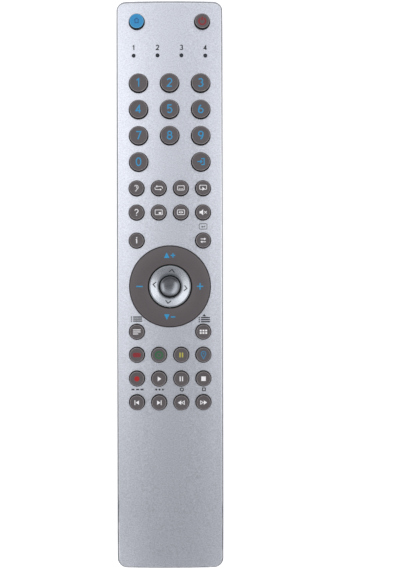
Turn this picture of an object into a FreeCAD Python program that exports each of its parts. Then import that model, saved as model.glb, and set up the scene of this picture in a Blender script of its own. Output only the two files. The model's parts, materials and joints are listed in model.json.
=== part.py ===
"""Television remote control: a slim handset with a silver crowned face and a dark back.

The handset lies on its back. +X is to the right as the keys are read, +Y runs to the
infrared end, and +Z comes up through the keys. The origin is on the table, under the
middle of the handset. All sizes are millimetres.
"""
import FreeCAD, Part
import math
import os

from FreeCAD import Vector

# How far a cut runs past the face it opens, and how deep a joined piece sinks into its neighbour
through = 1.0
sink = 0.2

# Tolerance of the tests that pick edges out
close = 0.01

# Whole handset
overall_length = 240.0
case_width = 44.8
corner_radius = 4.0
least_corner = 0.5
parting_height = 14.5

# Front cover
cover_wall = 1.5
cover_side_height = 2.4
crown_rise = 1.1
crown_fall = 1.1
crown_fall_length = 35.0
cover_side_rounding = 0.8
cover_end_rounding = 1.6
lip_height = 1.0
lip_thickness = 0.6
lip_clearance = 0.1

# Rear housing
housing_wall = 1.8
side_draft = 2.5
top_draft = 2.7
bottom_draft = 1.6
head_back_corner = 3.2
tail_back_corner = 6.5
back_rounding = 2.4
tail_step = 1.65
step_from_top = 99.0
step_length = 26.0

# Snap hooks along both sides
hook_rows = (41.75, 85.75, 157.75)
hook_width = 6.0
hook_thickness = 0.9
hook_nose = 0.5
hook_nose_height = 0.8
hook_drop = 2.9
hook_clearance = 0.2
hook_wall_gap = 1.3
hook_ledge_overhang = 0.5

# Battery door
door_length = 62.3
door_side_height = 3.55
door_corner = 3.5
door_wall = 1.5
seam_gap = 0.15
door_ledge_height = 0.7
tongue_width = 3.0
tongue_reach = 2.6
tongue_height = 1.0
tongue_root_length = 4.0
tongue_root_setback = 0.6
tongue_overlap = 2.0
grip_bars = 5
grip_width = 5.0
grip_pitch = 1.5
grip_bar = 0.7
grip_narrowing = 0.18
grip_depth = 0.3
grip_from_seam = 5.0
pip_radius = 0.55
pip_tip_radius = 0.33
pip_height = 0.25
pip_spacing = 14.6
pip_from_end = 9.2

# Battery tray and rails
cell_radius = 5.25
cell_length = 44.5
nub_radius = 1.9
nub_length = 0.8
cell_gap = 1.1
cell_floor_gap = 0.25
tray_side_gap = 0.35
tray_wall = 1.2
tray_from_seam = 3.2
deck_thickness = 1.2
divider_thickness = 0.6
rail_from_door = 2.1
rail_thickness = 1.0
rail_foot = 0.6
rail_foot_gap = 0.35
rail_clearance = 0.2
rail_end_gap = 8.0

# Battery contacts and springs
contact_thickness = 0.4
contact_width = 8.6
contact_tail_width = 2.0
contact_tail_reach = 2.5
contact_slot_gap = 0.15
contact_end_gap = 0.3
contact_notch_gap = 0.2
spring_space = 4.3
spring_wire = 0.6
spring_turns = 3
spring_base_radius = 3.6
spring_tip_radius = 2.2
spring_slack = 0.1
spring_lift = 0.05

# Infrared window
window_margin = 6.15
window_proud = 0.25
window_low = 3.2
window_gap = 0.1
window_flange = 1.2
window_flange_thickness = 0.9
window_seat_gap = 0.1
window_pocket_depth = 0.5

# Circuit board
board_thickness = 1.6
board_top = 11.6
board_side_gap = 4.2
board_top_gap = 5.3
board_tail_gap = 4.2
board_notch_half_width = 8.0
board_notch_depth = 7.5
board_corner = 1.5

# Key mat
mat_thickness = 1.0
mat_inset = 0.3
mat_hole_gap = 0.4
mat_ear_gap = 0.5
mat_notch_margin = 1.0
mat_lead_gap = 0.6
dome_height = 1.4
dome_base_radius = 2.9
dome_tip_radius = 1.8
dome_wall = 0.4
dome_tip_wall = 0.3
pill_radius = 1.1
rocker_pill_radius = 0.6
pill_thickness = 0.6
pill_air = 0.8

# Keys
large_key_radius = 3.95
small_key_radius = 3.2
key_height = 1.5
key_hole_gap = 0.25
key_flange = 0.7
key_flange_thickness = 0.8
key_flange_gap = 0.25
key_rounding = 0.45
key_dish_depth = 0.12

# Rows of keys, measured down from the infrared end, and how far the outer columns are from the side
top_key_row = 9.1
top_key_margin = 8.6
number_row = 35.0
number_row_pitch = 11.07
number_margin = 9.3
small_key_margin = 8.4
menu_rows = (79.3, 89.5)
corner_rows = (101.3, 139.7)
colour_row = 149.4
player_rows = (159.4, 169.4)
last_row_gap = 3.85

# Indicator lights
indicator_row = 23.3
indicator_margin = 7.3
indicator_count = 4
pipe_radius = 0.82
pipe_hole_gap = 0.04
pipe_flange = 0.7
pipe_flange_thickness = 0.6
pipe_flange_gap = 0.02
pipe_lamp_gap = 0.3
pipe_proud = 0.1
lamp_width = 1.0
lamp_length = 1.8
lamp_height = 0.6
lamp_lens_inset = 0.3

# Rocker ring
rocker_row = 120.6
rocker_outer_radius = 16.95
rocker_inner_radius = 9.2
rocker_height = 1.7
rocker_edge_drop = 0.35
rocker_rounding = 0.5
rocker_hole_gap = 0.35
rocker_flange = 0.5
rocker_flange_thickness = 0.5
rocker_bottom_lift = 0.2
rocker_dome_circle = 15.2
rocker_dome_base = 1.7
rocker_dome_tip = 1.0
tilt_pin_radius = 0.4
tilt_pin_clearance = 0.05
tilt_pin_overhang = 0.1
tilt_pin_depth = 0.8
tilt_ring_thickness = 1.0
tilt_ring_width = 1.8
tilt_ring_gap = 0.5
ear_gap = 0.4
ear_thickness = 1.0
ear_width = 2.4
ear_lip = 0.3

# Middle dish and OK knob
dish_radius = 8.7
dish_wall = 1.0
dish_lift = 1.3
dish_sink = 0.8
dish_rim = 0.5
dish_peg_radius = 0.4
dish_peg_clearance = 0.05
dish_peg_gap = 0.2
knob_radius = 4.2
knob_gap = 0.5
knob_height = 3.3
knob_neck_radius = 2.4
knob_neck_length = 2.0
knob_dish_depth = 0.45
knob_rounding = 0.4
knob_travel = 0.5
knob_rest_gap = 0.5
switch_size = 7.2
switch_height = 2.8
switch_floor = 0.6
switch_well_radius = 2.6
switch_corner = 0.5
gimbal_outer_radius = 2.2
gimbal_inner_radius = 1.5
gimbal_thickness = 0.6
gimbal_pin_radius = 0.22
gimbal_pin_clearance = 0.05
gimbal_pin_depth = 0.5
gimbal_bore_depth = 0.7
gimbal_floor_gap = 0.7
stem_radius = 0.9
stem_socket_gap = 0.08
stem_overlap = 1.2
stem_end_gap = 0.15

# Screws and bosses
screw_shank_radius = 1.0
screw_shank_length = 5.0
screw_head_radius = 1.9
screw_head_height = 1.4
screw_slot_radius = 0.9
screw_slot_depth = 0.7
screw_head_rounding = 0.4
screw_well_gap = 0.3
screw_hole_gap = 0.15
pilot_gap = 0.03
boss_radius = 2.2
boss_floor = 0.3
boss_rocker_gap = 0.3
top_screw_row = 19.0
case_screw_seat = 10.6
case_screw_floor = 1.2
case_boss_gap = 0.05
case_screw_from_seam = 4.6
case_screw_from_tray = 2.6
screw_tube_radius = 3.0
post_radius = 1.5
post_gap = 0.05
post_rows = ((3.2, 31.75), (2.7, 99.25), (6.2, 165.75))

# Pieces under the board
chip_width = 9.0
chip_length = 12.0
chip_height = 1.6
chip_leg_count = 8
chip_leg_width = 0.45
chip_leg_reach = 1.1
chip_leg_thickness = 0.4
chip_leg_margin = 1.0
chip_stand_off = 0.1
chip_row = 46.0
crystal_width = 10.5
crystal_depth = 4.2
crystal_height = 3.2
crystal_corner = 1.9
crystal_row = 88.0
capacitor_radius = 2.5
capacitor_length = 8.0
capacitor_row = 56.0
capacitor_column = 11.0
resistor_length = 2.0
resistor_width = 1.2
resistor_height = 0.6
resistor_count = 8
resistor_pitch = 3.4
resistor_row = 124.0
resistor_column = 6.0

# Infrared lamps
ir_lamp_radius = 2.5
ir_lamp_rim = 0.4
ir_lamp_rim_thickness = 1.0
ir_lamp_length = 7.6
ir_lamp_spacing = 8.0
ir_lead_width = 0.5
ir_lead_reach = 2.0
ir_lamp_gap = 0.4

# Places worked out from the sizes
half_width = case_width / 2
window_width = case_width - 2 * window_margin
bottom_y = -overall_length / 2
top_y = overall_length / 2 - window_proud
side_top = parting_height + cover_side_height
crown_top = side_top + crown_rise
fall_start = bottom_y + crown_fall_length
fall_radius = (crown_fall_length ** 2 + crown_fall ** 2) / (2 * crown_fall)
crown_radius = (half_width ** 2 + crown_rise ** 2) / (2 * crown_rise)
seam_y = bottom_y + door_length
door_top = tail_step + door_side_height
deck_z = door_top + seam_gap
board_bottom = board_top - board_thickness
board_top_y = top_y - board_top_gap
board_tail_y = seam_y + board_tail_gap
board_half_width = half_width - board_side_gap
top_key_column = half_width - top_key_margin
number_column_pitch = half_width - number_margin
small_column_pitch = (half_width - small_key_margin) / 1.5
indicator_pitch = 2 * (half_width - indicator_margin) / (indicator_count - 1)
key_field = top_y - board_tail_y - top_key_row - last_row_gap
row_spread = key_field / (player_rows[1] - top_key_row)


def row_y(row):
    """Where a row lies: rows spread out or close up to fill the field between the top row and the tail."""
    return top_y - top_key_row - (row - top_key_row) * row_spread


mat_top = board_top + mat_thickness
key_bottom = mat_top + dome_height
cell_x = cell_radius + cell_gap / 2
cell_z = tail_step + door_wall + cell_floor_gap + cell_radius
tray_half = cell_x + cell_radius + tray_side_gap
tray_top = cell_z + cell_radius + cell_floor_gap
tray_front = seam_y - tray_from_seam
tray_rear = tray_front - cell_length - spring_space - 2 * contact_thickness
rocker_y = row_y(rocker_row)
rocker_bottom = key_bottom + rocker_bottom_lift
tilt_ring_inner = dish_radius + tilt_ring_gap + tilt_pin_radius
tilt_ring_outer = tilt_ring_inner + tilt_ring_width
tilt_z = rocker_bottom - tilt_ring_thickness
ear_inner = tilt_ring_outer + ear_gap
ear_outer = ear_inner + ear_thickness
gimbal_z = board_top + switch_floor + gimbal_floor_gap + gimbal_thickness / 2
case_screw_x = tray_half + tray_wall + case_screw_from_tray
case_screw_y = seam_y - case_screw_from_seam
far = overall_length
rail_low = tail_step + door_wall + rail_foot_gap
number_screw_y = row_y(number_row + 2.5 * number_row_pitch)
rocker_reach = rocker_outer_radius + rocker_hole_gap + rocker_flange
screw_from_rocker = rocker_reach + boss_radius + boss_rocker_gap
board_screws = (
    (0.0, row_y(top_screw_row)),
    (-number_column_pitch / 2, number_screw_y),
    (number_column_pitch / 2, number_screw_y),
    (0.0, rocker_y + screw_from_rocker),
    (0.0, rocker_y - screw_from_rocker),
    (0.0, row_y((player_rows[0] + player_rows[1]) / 2)),
)
case_screws = ((-case_screw_x, case_screw_y), (case_screw_x, case_screw_y))
post_places = [
    (side * (board_half_width - inset), row_y(row)) for inset, row in post_rows for side in (1, -1)
]


def box(x0, x1, y0, y1, z0, z1):
    """A block between two corners."""
    return Part.makeBox(x1 - x0, y1 - y0, z1 - z0, Vector(x0, y0, z0))


def rod(x, y, z0, z1, radius):
    """An upright round rod."""
    return Part.makeCylinder(radius, z1 - z0, Vector(x, y, z0))


def taper(x, y, z0, z1, radius0, radius1):
    """An upright cone frustum."""
    return Part.makeCone(radius0, radius1, z1 - z0, Vector(x, y, z0))


def bar(start, along, length, radius):
    """A round rod in any direction."""
    return Part.makeCylinder(radius, length, start, along)


def turned(points, x, y):
    """A turned solid from (radius, z) corners, about the upright line at x, y."""
    corners = [Vector(x + r, y, z) for r, z in points]
    face = Part.Face(Part.makePolygon(corners + corners[:1]))
    return face.revolve(Vector(x, y, 0), Vector(0, 0, 1), 360)


def rounded(left, right, low, high, low_radius, high_radius, z):
    """A closed outline with round corners: one radius at the low end, another at the high end."""
    corners = (
        (right, low, -1, 1, low_radius, False),
        (right, high, -1, -1, high_radius, True),
        (left, high, 1, -1, high_radius, False),
        (left, low, 1, 1, low_radius, True),
    )
    bulge = 1 - math.sqrt(0.5)
    arcs = []
    for x, y, inward_x, inward_y, radius, starts_upright in corners:
        on_flat = Vector(x + inward_x * radius, y, z)
        on_side = Vector(x, y + inward_y * radius, z)
        middle = Vector(x + inward_x * bulge * radius, y + inward_y * bulge * radius, z)
        arcs.append((on_side, middle, on_flat) if starts_upright else (on_flat, middle, on_side))
    edges = []
    for i, arc in enumerate(arcs):
        edges.append(Part.Arc(*arc).toShape())
        edges.append(Part.makeLine(arc[2], arcs[(i + 1) % 4][0]))
    return Part.Wire(edges)


def plate(left, right, low, high, radius, z0, z1):
    """A flat plate with round corners."""
    return Part.Face(rounded(left, right, low, high, radius, radius, z0)).extrude(Vector(0, 0, z1 - z0))


def case_outline(z, inset):
    """The drafted outline of the case at a height, drawn in by an inset."""
    depth = (parting_height - z) / parting_height
    side = half_width - side_draft * depth - inset
    high = top_y - top_draft * depth - inset
    low = bottom_y + bottom_draft * depth + inset
    high_radius = corner_radius + (head_back_corner - corner_radius) * depth
    low_radius = corner_radius + (tail_back_corner - corner_radius) * depth
    low_radius = max(low_radius - inset, least_corner)
    high_radius = max(high_radius - inset, least_corner)
    return rounded(-side, side, low, high, low_radius, high_radius, z)


def below_step(raised):
    """The space under the back, which rises to the thinner tail in an S curve."""
    start = top_y - step_from_top
    end = start - step_length
    middle = (start + end) / 2
    quarter = step_length / 4
    radius = (step_length ** 2 / 4 + tail_step ** 2 / 4) / tail_step
    sag = radius - math.sqrt(radius ** 2 - quarter ** 2)
    low = raised
    high = raised + tail_step
    half = raised + tail_step / 2
    edges = [
        Part.Arc(
            Vector(-far, start, low), Vector(-far, start - quarter, low + sag), Vector(-far, middle, half)
        ).toShape(),
        Part.Arc(
            Vector(-far, middle, half), Vector(-far, end + quarter, high - sag), Vector(-far, end, high)
        ).toShape(),
        Part.makeLine(Vector(-far, end, high), Vector(-far, -far, high)),
        Part.makeLine(Vector(-far, -far, high), Vector(-far, -far, low - far)),
        Part.makeLine(Vector(-far, -far, low - far), Vector(-far, start, low - far)),
        Part.makeLine(Vector(-far, start, low - far), Vector(-far, start, low)),
    ]
    return Part.Face(Part.Wire(edges)).extrude(Vector(2 * far, 0, 0))


def crown_z(x, y=0.0):
    """Height of the crowned face above the table."""
    height = crown_top - (crown_radius - math.sqrt(crown_radius ** 2 - x ** 2))
    past = max(0.0, fall_start - y)
    return height - (fall_radius - math.sqrt(fall_radius ** 2 - past ** 2))


def below_crown(lowered):
    """Everything under the crowned face: a long barrel that bends down at the tail."""
    wide = half_width + through
    floor = Vector(0, 0, -lowered)
    left = Vector(-wide, fall_start, crown_z(wide))
    middle = Vector(0, fall_start, crown_top)
    right = Vector(wide, fall_start, crown_z(wide))
    corner_right = Vector(wide, fall_start, -far)
    corner_left = Vector(-wide, fall_start, -far)
    edges = [
        Part.Arc(left, middle, right).toShape(),
        Part.makeLine(right, corner_right),
        Part.makeLine(corner_right, corner_left),
        Part.makeLine(corner_left, left),
    ]
    section = Part.Face(Part.Wire(edges))
    straight = section.extrude(Vector(0, far, 0))
    angle = math.degrees(math.asin((crown_fall_length + 2 * through) / fall_radius))
    bent = section.revolve(Vector(0, fall_start, crown_top - fall_radius), Vector(1, 0, 0), angle)
    whole = straight.fuse(bent)
    whole.translate(floor)
    return whole


def round_edges(shape, choose, radius):
    """Round the edges that a test picks out."""
    edges = [edge for edge in shape.Edges if choose(edge)]
    return shape.makeFillet(radius, edges)


def round_rim(shape):
    """Round the cover's rim: softly at the infrared end, more tightly along the sides and the tail."""
    rounding = []
    for number, edge in enumerate(shape.Edges, 1):
        if edge.BoundBox.ZMin > parting_height + cover_side_height / 4 and on_outline(edge):
            ends = [edge.valueAt(edge.FirstParameter), edge.valueAt(edge.LastParameter)]
            if edge.Orientation == "Reversed":
                ends.reverse()
            radii = [cover_end_rounding if end.y > top_y - close else cover_side_rounding for end in ends]
            rounding.append((number, radii[0], radii[1]))
    document = FreeCAD.newDocument("rim")
    base = document.addObject("Part::Feature", "sharp_lid")
    base.Shape = shape
    fillet = document.addObject("Part::Fillet", "round_lid")
    fillet.Base = base
    fillet.Edges = rounding
    document.recompute()
    rounded_lid = fillet.Shape.copy()
    FreeCAD.closeDocument(document.Name)
    return rounded_lid


def key_places():
    """Every key by name, with its place, its radius and its height above the crown."""
    keys = []
    keys.append(("blue_key", -top_key_column, top_key_row, small_key_radius))
    keys.append(("power_key", top_key_column, top_key_row, small_key_radius))
    for row in range(3):
        for column in range(3):
            number = 3 * row + column + 1
            x = (column - 1) * number_column_pitch
            down = number_row + row * number_row_pitch
            keys.append((f"number_{number}_key", x, down, large_key_radius))
    last_row = number_row + 3 * number_row_pitch
    keys.append(("number_0_key", -number_column_pitch, last_row, large_key_radius))
    keys.append(("source_key", number_column_pitch, last_row, large_key_radius))
    columns = [(i - 1.5) * small_column_pitch for i in range(4)]
    named_rows = (
        (menu_rows[0], ("language_key", "repeat_key", "subtitle_key", "select_key")),
        (menu_rows[1], ("help_key", "picture_in_picture_key", "format_key", "mute_key")),
        (corner_rows[0], ("info_key", None, None, "swap_key")),
        (corner_rows[1], ("text_key", None, None, "guide_key")),
        (colour_row, ("red_key", "green_key", "yellow_key", "cyan_key")),
        (player_rows[0], ("record_key", "play_key", "pause_key", "stop_key")),
        (player_rows[1], ("previous_key", "next_key", "rewind_key", "forward_key")),
    )
    for row, names in named_rows:
        for x, name in zip(columns, names):
            if name:
                keys.append((name, x, row, small_key_radius))
    return [(name, x, row_y(row), radius) for name, x, row, radius in keys]


def indicator_places():
    """The row of small lights near the top."""
    middle = (indicator_count - 1) / 2
    return [((i - middle) * indicator_pitch, row_y(indicator_row)) for i in range(indicator_count)]


def underside(x, reach):
    """Lowest height of the cover's underside over a flange that reaches out from x."""
    return crown_z(abs(x) + reach) - cover_wall


def front_cover():
    """The silver cover: a crowned lid with holes for the keys, the rocker and the lights."""
    outline = Part.Face(rounded(
        -half_width, half_width, bottom_y, top_y, corner_radius, corner_radius, parting_height
    ))
    lid = outline.extrude(Vector(0, 0, crown_top)).common(below_crown(0))
    lid = round_rim(lid)
    inner = Part.Face(rounded(
        cover_wall - half_width, half_width - cover_wall, bottom_y + cover_wall, top_y - cover_wall,
        corner_radius - cover_wall, corner_radius - cover_wall, parting_height - through,
    ))
    hollow = inner.extrude(Vector(0, 0, crown_top)).common(below_crown(cover_wall))
    groove_inset = cover_wall - lip_thickness - 2 * lip_clearance
    groove_top = parting_height + lip_height + 2 * lip_clearance
    groove = plate(
        groove_inset - half_width, half_width - groove_inset, bottom_y + groove_inset, top_y - groove_inset,
        corner_radius - groove_inset, parting_height - through, groove_top,
    )
    lid = lid.cut([hollow, groove])
    ceiling = below_crown(cover_wall / 2)
    added = []
    for x, y in board_screws:
        added.append(rod(x, y, board_top, crown_top, boss_radius).common(ceiling))
    boss_low = case_screw_seat + case_screw_floor + case_boss_gap
    for x, y in case_screws:
        added.append(rod(x, y, boss_low, crown_top, boss_radius).common(ceiling))
    for row in hook_rows:
        for side in (-1, 1):
            added.append(snap_hook(side, row_y(row)).common(ceiling))
    lid = lid.fuse(added)
    cuts = []
    for x, y in board_screws:
        top = board_bottom + screw_shank_length + boss_floor
        cuts.append(rod(x, y, board_top - through, top, screw_shank_radius + pilot_gap))
    for x, y in case_screws:
        top = case_screw_seat + screw_shank_length + boss_floor
        cuts.append(rod(x, y, boss_low - through, top, screw_shank_radius + pilot_gap))
    above = crown_top + through
    for name, x, y, radius in key_places():
        cuts.append(rod(x, y, parting_height, above, radius + key_hole_gap))
    for x, y in indicator_places():
        cuts.append(rod(x, y, parting_height, above, pipe_radius + pipe_hole_gap))
    cuts.append(rod(0, rocker_y, parting_height, above, rocker_outer_radius + rocker_hole_gap))
    return lid.cut(cuts)


def on_outline(edge):
    """Whether an edge lies on the upright wall of the cover."""
    for parameter in (0.02, 0.5, 0.98):
        first, last = edge.ParameterRange
        point = edge.valueAt(first + (last - first) * parameter)
        inside_x = half_width - abs(point.x)
        inside_y = min(top_y - point.y, point.y - bottom_y)
        if inside_x < close or inside_y < close:
            continue
        to_x = max(0.0, abs(point.x) - (half_width - corner_radius))
        to_y = max(0.0, corner_radius - inside_y)
        if abs(math.hypot(to_x, to_y) - corner_radius) > close:
            return False
    return True


def snap_hook(side, y):
    """A hook that hangs from the cover and catches under a ledge of the rear housing."""
    outer = half_width - cover_wall - hook_wall_gap
    inner = outer - hook_thickness
    low = parting_height - hook_drop
    root = parting_height + lip_height + 3 * lip_clearance
    half = hook_width / 2
    tab = box(inner, outer, y - half, y + half, low, crown_top)
    arm = box(inner, half_width - cover_wall / 2, y - half, y + half, root, crown_top)
    nose = box(inner, outer + hook_nose, y - half, y + half, low, low + hook_nose_height)
    hook = tab.fuse([arm, nose])
    return hook if side > 0 else mirrored(hook)


def mirrored(shape):
    """The same piece on the other side of the handset."""
    return shape.mirror(Vector(0, 0, 0), Vector(1, 0, 0))


def outer_shell():
    """The drafted dark body, with its stepped and rounded back, as one full solid."""
    body = Part.makeLoft([case_outline(parting_height, 0), case_outline(0, 0)], True, True)
    body = body.cut(below_step(0))

    def back_edge(edge):
        limits = edge.BoundBox
        across = limits.YLength < close and limits.XLength > half_width
        inner = limits.YMax < top_y - 2 * top_draft and limits.YMin > bottom_y + 2 * bottom_draft
        return limits.ZMax < tail_step + close and not (across and inner)

    return round_edges(body, back_edge, back_rounding)


def door_block(grow):
    """The space of the battery door: the tail's back, up to the seam along the sides."""
    front = seam_y + grow
    top = door_top + grow
    radius = door_corner + grow
    bulge = (1 - math.sqrt(0.5)) * radius
    edges = [
        Part.makeLine(Vector(-far, -far, -far), Vector(-far, front, -far)),
        Part.makeLine(Vector(-far, front, -far), Vector(-far, front, top - radius)),
        Part.Arc(
            Vector(-far, front, top - radius), Vector(-far, front - bulge, top - bulge),
            Vector(-far, front - radius, top),
        ).toShape(),
        Part.makeLine(Vector(-far, front - radius, top), Vector(-far, -far, top)),
        Part.makeLine(Vector(-far, -far, top), Vector(-far, -far, -far)),
    ]
    return Part.Face(Part.Wire(edges)).extrude(Vector(2 * far, 0, 0))


def case_hollow(wall, top):
    """The inside of the drafted body for a wall, open at the parting line."""
    hollow = Part.makeLoft([case_outline(top, wall), case_outline(wall, wall)], True, True)
    return hollow.cut(below_step(wall))


def rail_x():
    """Inner side of the door's rail."""
    depth = (parting_height - door_top) / parting_height
    return half_width - side_draft * depth - door_wall - rail_from_door - rail_thickness


def end_slope(z, offset):
    """Where the sloping infrared end lies at a height, moved out by an offset."""
    return top_y - top_draft * (parting_height - z) / parting_height + offset


def window_slab(half, low, high, inner, outer):
    """A slab along the sloping end, between two offsets from its face."""
    corners = [
        Vector(-half, end_slope(low, inner), low),
        Vector(-half, end_slope(low, outer), low),
        Vector(-half, end_slope(high, outer), high),
        Vector(-half, end_slope(high, inner), high),
    ]
    return Part.Face(Part.makePolygon(corners + corners[:1])).extrude(Vector(2 * half, 0, 0))


def rear_housing(shell):
    """The dark rear housing, with the battery tray, door rails, posts, ledges and screw tubes."""
    body = shell.cut([case_hollow(housing_wall, parting_height + through), door_block(seam_gap)])
    bulkhead_low = seam_y + tray_wall
    bulkhead_high = bulkhead_low + tray_wall
    deck_top = deck_z + deck_thickness
    deck = shell.common(box(-far, far, -far, bulkhead_high, deck_z, deck_top))
    bulkhead = box(-far, far, bulkhead_low, bulkhead_high, tail_step, deck_top)
    bulkhead = bulkhead.common(case_hollow(housing_wall / 2, parting_height + through))
    tray = box(
        -tray_half - tray_wall, tray_half + tray_wall, tray_rear - tray_wall, tray_front + tray_wall,
        deck_z, tray_top + tray_wall,
    )
    added = [deck, bulkhead, tray]
    for x, y in case_screws:
        added.append(rod(x, y, deck_z, case_screw_seat + case_screw_floor, screw_tube_radius))
    under_posts = below_step(housing_wall / 2)
    for x, y in post_places:
        post = rod(x, y, housing_wall / 2, board_bottom - post_gap, post_radius)
        added.append(post.cut(under_posts))
    inner = rail_x()
    rail_front = seam_y - rail_end_gap
    rail_rear = bottom_y + rail_end_gap + door_wall
    for side in (-1, 1):
        web = box(inner, inner + rail_thickness, rail_rear, rail_front, rail_low, deck_top)
        foot = box(inner, inner + 2 * rail_thickness, rail_rear, rail_front, rail_low, rail_low + rail_foot)
        rail = web.fuse(foot)
        added.append(rail if side > 0 else mirrored(rail))
        for row in hook_rows:
            added.append(hook_ledge(side, row_y(row)))
    lip_inset = cover_wall - lip_thickness - lip_clearance
    lip_outer = plate(
        lip_inset - half_width, half_width - lip_inset, bottom_y + lip_inset, top_y - lip_inset,
        corner_radius - lip_inset, parting_height - lip_height / 2, parting_height + lip_height,
    )
    lip_inner_inset = lip_inset + lip_thickness
    lip_inner = plate(
        lip_inner_inset - half_width, half_width - lip_inner_inset,
        bottom_y + lip_inner_inset, top_y - lip_inner_inset,
        corner_radius - lip_inner_inset, parting_height - lip_height, parting_height + 2 * lip_height,
    )
    added.append(lip_outer.cut(lip_inner))
    body = body.fuse(added)
    half_window = window_width / 2
    half_tongue = tongue_width / 2 + rail_clearance
    cuts = [
        box(-tray_half, tray_half, tray_rear, tray_front, deck_z - through, tray_top),
        window_slab(
            half_window + window_gap, window_low - window_gap, parting_height + 2 * lip_height,
            -housing_wall - window_pocket_depth, through,
        ),
        box(
            -half_tongue, half_tongue, bulkhead_low - through, bulkhead_high + tray_wall,
            tail_step + housing_wall, door_top,
        ),
    ]
    for x, y in case_screws:
        cuts.append(rod(x, y, deck_z - through, case_screw_seat, screw_head_radius + screw_well_gap))
        cuts.append(rod(x, y, deck_z - through, parting_height, screw_shank_radius + screw_hole_gap))
    half_slot = contact_tail_width / 2 + contact_slot_gap
    for x in (-cell_x, cell_x):
        cuts.append(box(
            x - half_slot, x + half_slot, tray_front - through, tray_front + 2 * tray_wall,
            board_bottom - contact_thickness - contact_slot_gap, board_bottom + contact_slot_gap,
        ))
    body = body.cut(cuts)
    divider = box(
        -divider_thickness / 2, divider_thickness / 2, tray_rear, tray_front,
        cell_z, tray_top + tray_wall / 2,
    )
    return body.fuse(divider)


def hook_ledge(side, y):
    """A ledge on the housing's side wall, over the nose of a snap hook."""
    low = parting_height - hook_drop + hook_nose_height + hook_clearance
    inner = half_width - cover_wall - hook_wall_gap + hook_clearance
    outer = half_width - housing_wall / 2 - side_draft * hook_drop / parting_height
    half = hook_width / 2 + hook_ledge_overhang
    ledge = box(inner, outer, y - half, y + half, low, parting_height - hook_clearance)
    return ledge if side > 0 else mirrored(ledge)


def battery_door(shell):
    """The door: the tail's back and lower sides, with a latch tongue and two side ledges."""
    door = shell.common(door_block(0))
    inner_height = tail_step + door_wall
    hollow = case_hollow(door_wall, parting_height).common(
        box(-far, far, -far, seam_y + through, inner_height, parting_height)
    )
    door = door.cut(hollow)
    nose_low = tail_step + housing_wall + rail_clearance
    half_tongue = tongue_width / 2
    nose_top = nose_low + tongue_height
    root = box(
        -half_tongue, half_tongue, seam_y - tongue_root_length, seam_y - tongue_root_setback,
        inner_height - sink, nose_top,
    )
    nose = box(-half_tongue, half_tongue, seam_y - tongue_overlap, seam_y + tongue_reach, nose_low, nose_top)
    added = [root, nose]
    ledge_low = rail_low + rail_foot + rail_clearance
    ledge_inner = rail_x() + rail_thickness + rail_clearance
    ledge = box(
        ledge_inner, half_width, bottom_y + rail_end_gap + door_wall, seam_y - rail_end_gap,
        ledge_low, ledge_low + door_ledge_height,
    ).common(case_hollow(door_wall / 2, parting_height))
    added.append(ledge)
    added.append(mirrored(ledge))
    pip_y = bottom_y + pip_from_end
    pip_low = tail_step - pip_height
    for x in (-pip_spacing / 2, pip_spacing / 2):
        added.append(taper(x, pip_y, pip_low, tail_step + door_wall / 2, pip_tip_radius, pip_radius))
    door = door.fuse(added)
    grooves = []
    for i in range(grip_bars):
        half = grip_width * (1 - grip_narrowing * i) / 2
        y = seam_y - grip_from_seam - i * grip_pitch
        grooves.append(box(-half, half, y - grip_bar, y, 0, tail_step + grip_depth))
    return door.cut(grooves)


def ir_window():
    """The smoked window over the sloping end, with a flange behind the wall."""
    half = window_width / 2
    top = parting_height - window_gap / 2
    back = -housing_wall - window_seat_gap
    plug = window_slab(half, window_low, top, back, window_proud)
    flange = window_slab(
        half + window_flange, window_low - window_flange, top - window_gap,
        back - window_flange_thickness, back,
    )
    return plug.fuse(flange)


def main_board():
    """The circuit board, notched for the infrared lamps."""
    board = plate(
        -board_half_width, board_half_width, board_tail_y, board_top_y, board_corner, board_bottom, board_top
    )
    low = board_bottom - through
    high = board_top + through
    cuts = [box(
        -board_notch_half_width, board_notch_half_width,
        board_top_y - board_notch_depth, board_top_y + through, low, high,
    )]
    for x, y in board_screws:
        cuts.append(rod(x, y, low, high, screw_shank_radius + screw_hole_gap))
    peg_x = dish_radius - dish_wall / 2
    for x in (-peg_x, peg_x):
        cuts.append(rod(x, rocker_y, low, high, dish_peg_radius + dish_peg_clearance))
    return board.cut(cuts)


def dome_places():
    """Every dome of the mat and its pill: one under each key, and four under the rocker ring."""
    domes = []
    for name, x, y, radius in key_places():
        domes.append((x, y, dome_base_radius, dome_tip_radius, key_bottom, pill_radius))
    for across, along in ((1, 0), (-1, 0), (0, 1), (0, -1)):
        x = across * rocker_dome_circle
        y = rocker_y + along * rocker_dome_circle
        domes.append((x, y, rocker_dome_base, rocker_dome_tip, rocker_bottom, rocker_pill_radius))
    return domes


def keypad_mat():
    """The silicone mat: a sheet with a hollow dome under every key."""
    sheet = plate(
        mat_inset - board_half_width, board_half_width - mat_inset,
        board_tail_y + mat_inset, board_top_y - mat_inset, board_corner, board_top, mat_top,
    )
    domes = []
    cuts = []
    inner_top = board_top + pill_air + pill_thickness
    for x, y, base, tip, top, pill in dome_places():
        domes.append(taper(x, y, mat_top - sink, top, base, tip))
        cuts.append(taper(x, y, board_top - sink, inner_top, base - dome_wall, tip - dome_tip_wall))
    low = board_top - through
    high = mat_top + through
    for x, y in board_screws:
        cuts.append(rod(x, y, low, high, boss_radius + mat_hole_gap))
    for x, y in indicator_places():
        cuts.append(rod(x, y, low, high, pipe_radius + pipe_flange + mat_hole_gap))
    cuts.append(rod(0, rocker_y, low, high, ear_outer + mat_ear_gap))
    half_notch = board_notch_half_width + mat_notch_margin
    notch_low = board_top_y - board_notch_depth - ir_lead_reach - mat_lead_gap
    cuts.append(box(-half_notch, half_notch, notch_low, board_top_y + through, low, high))
    return sheet.fuse(domes).cut(cuts)


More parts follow.
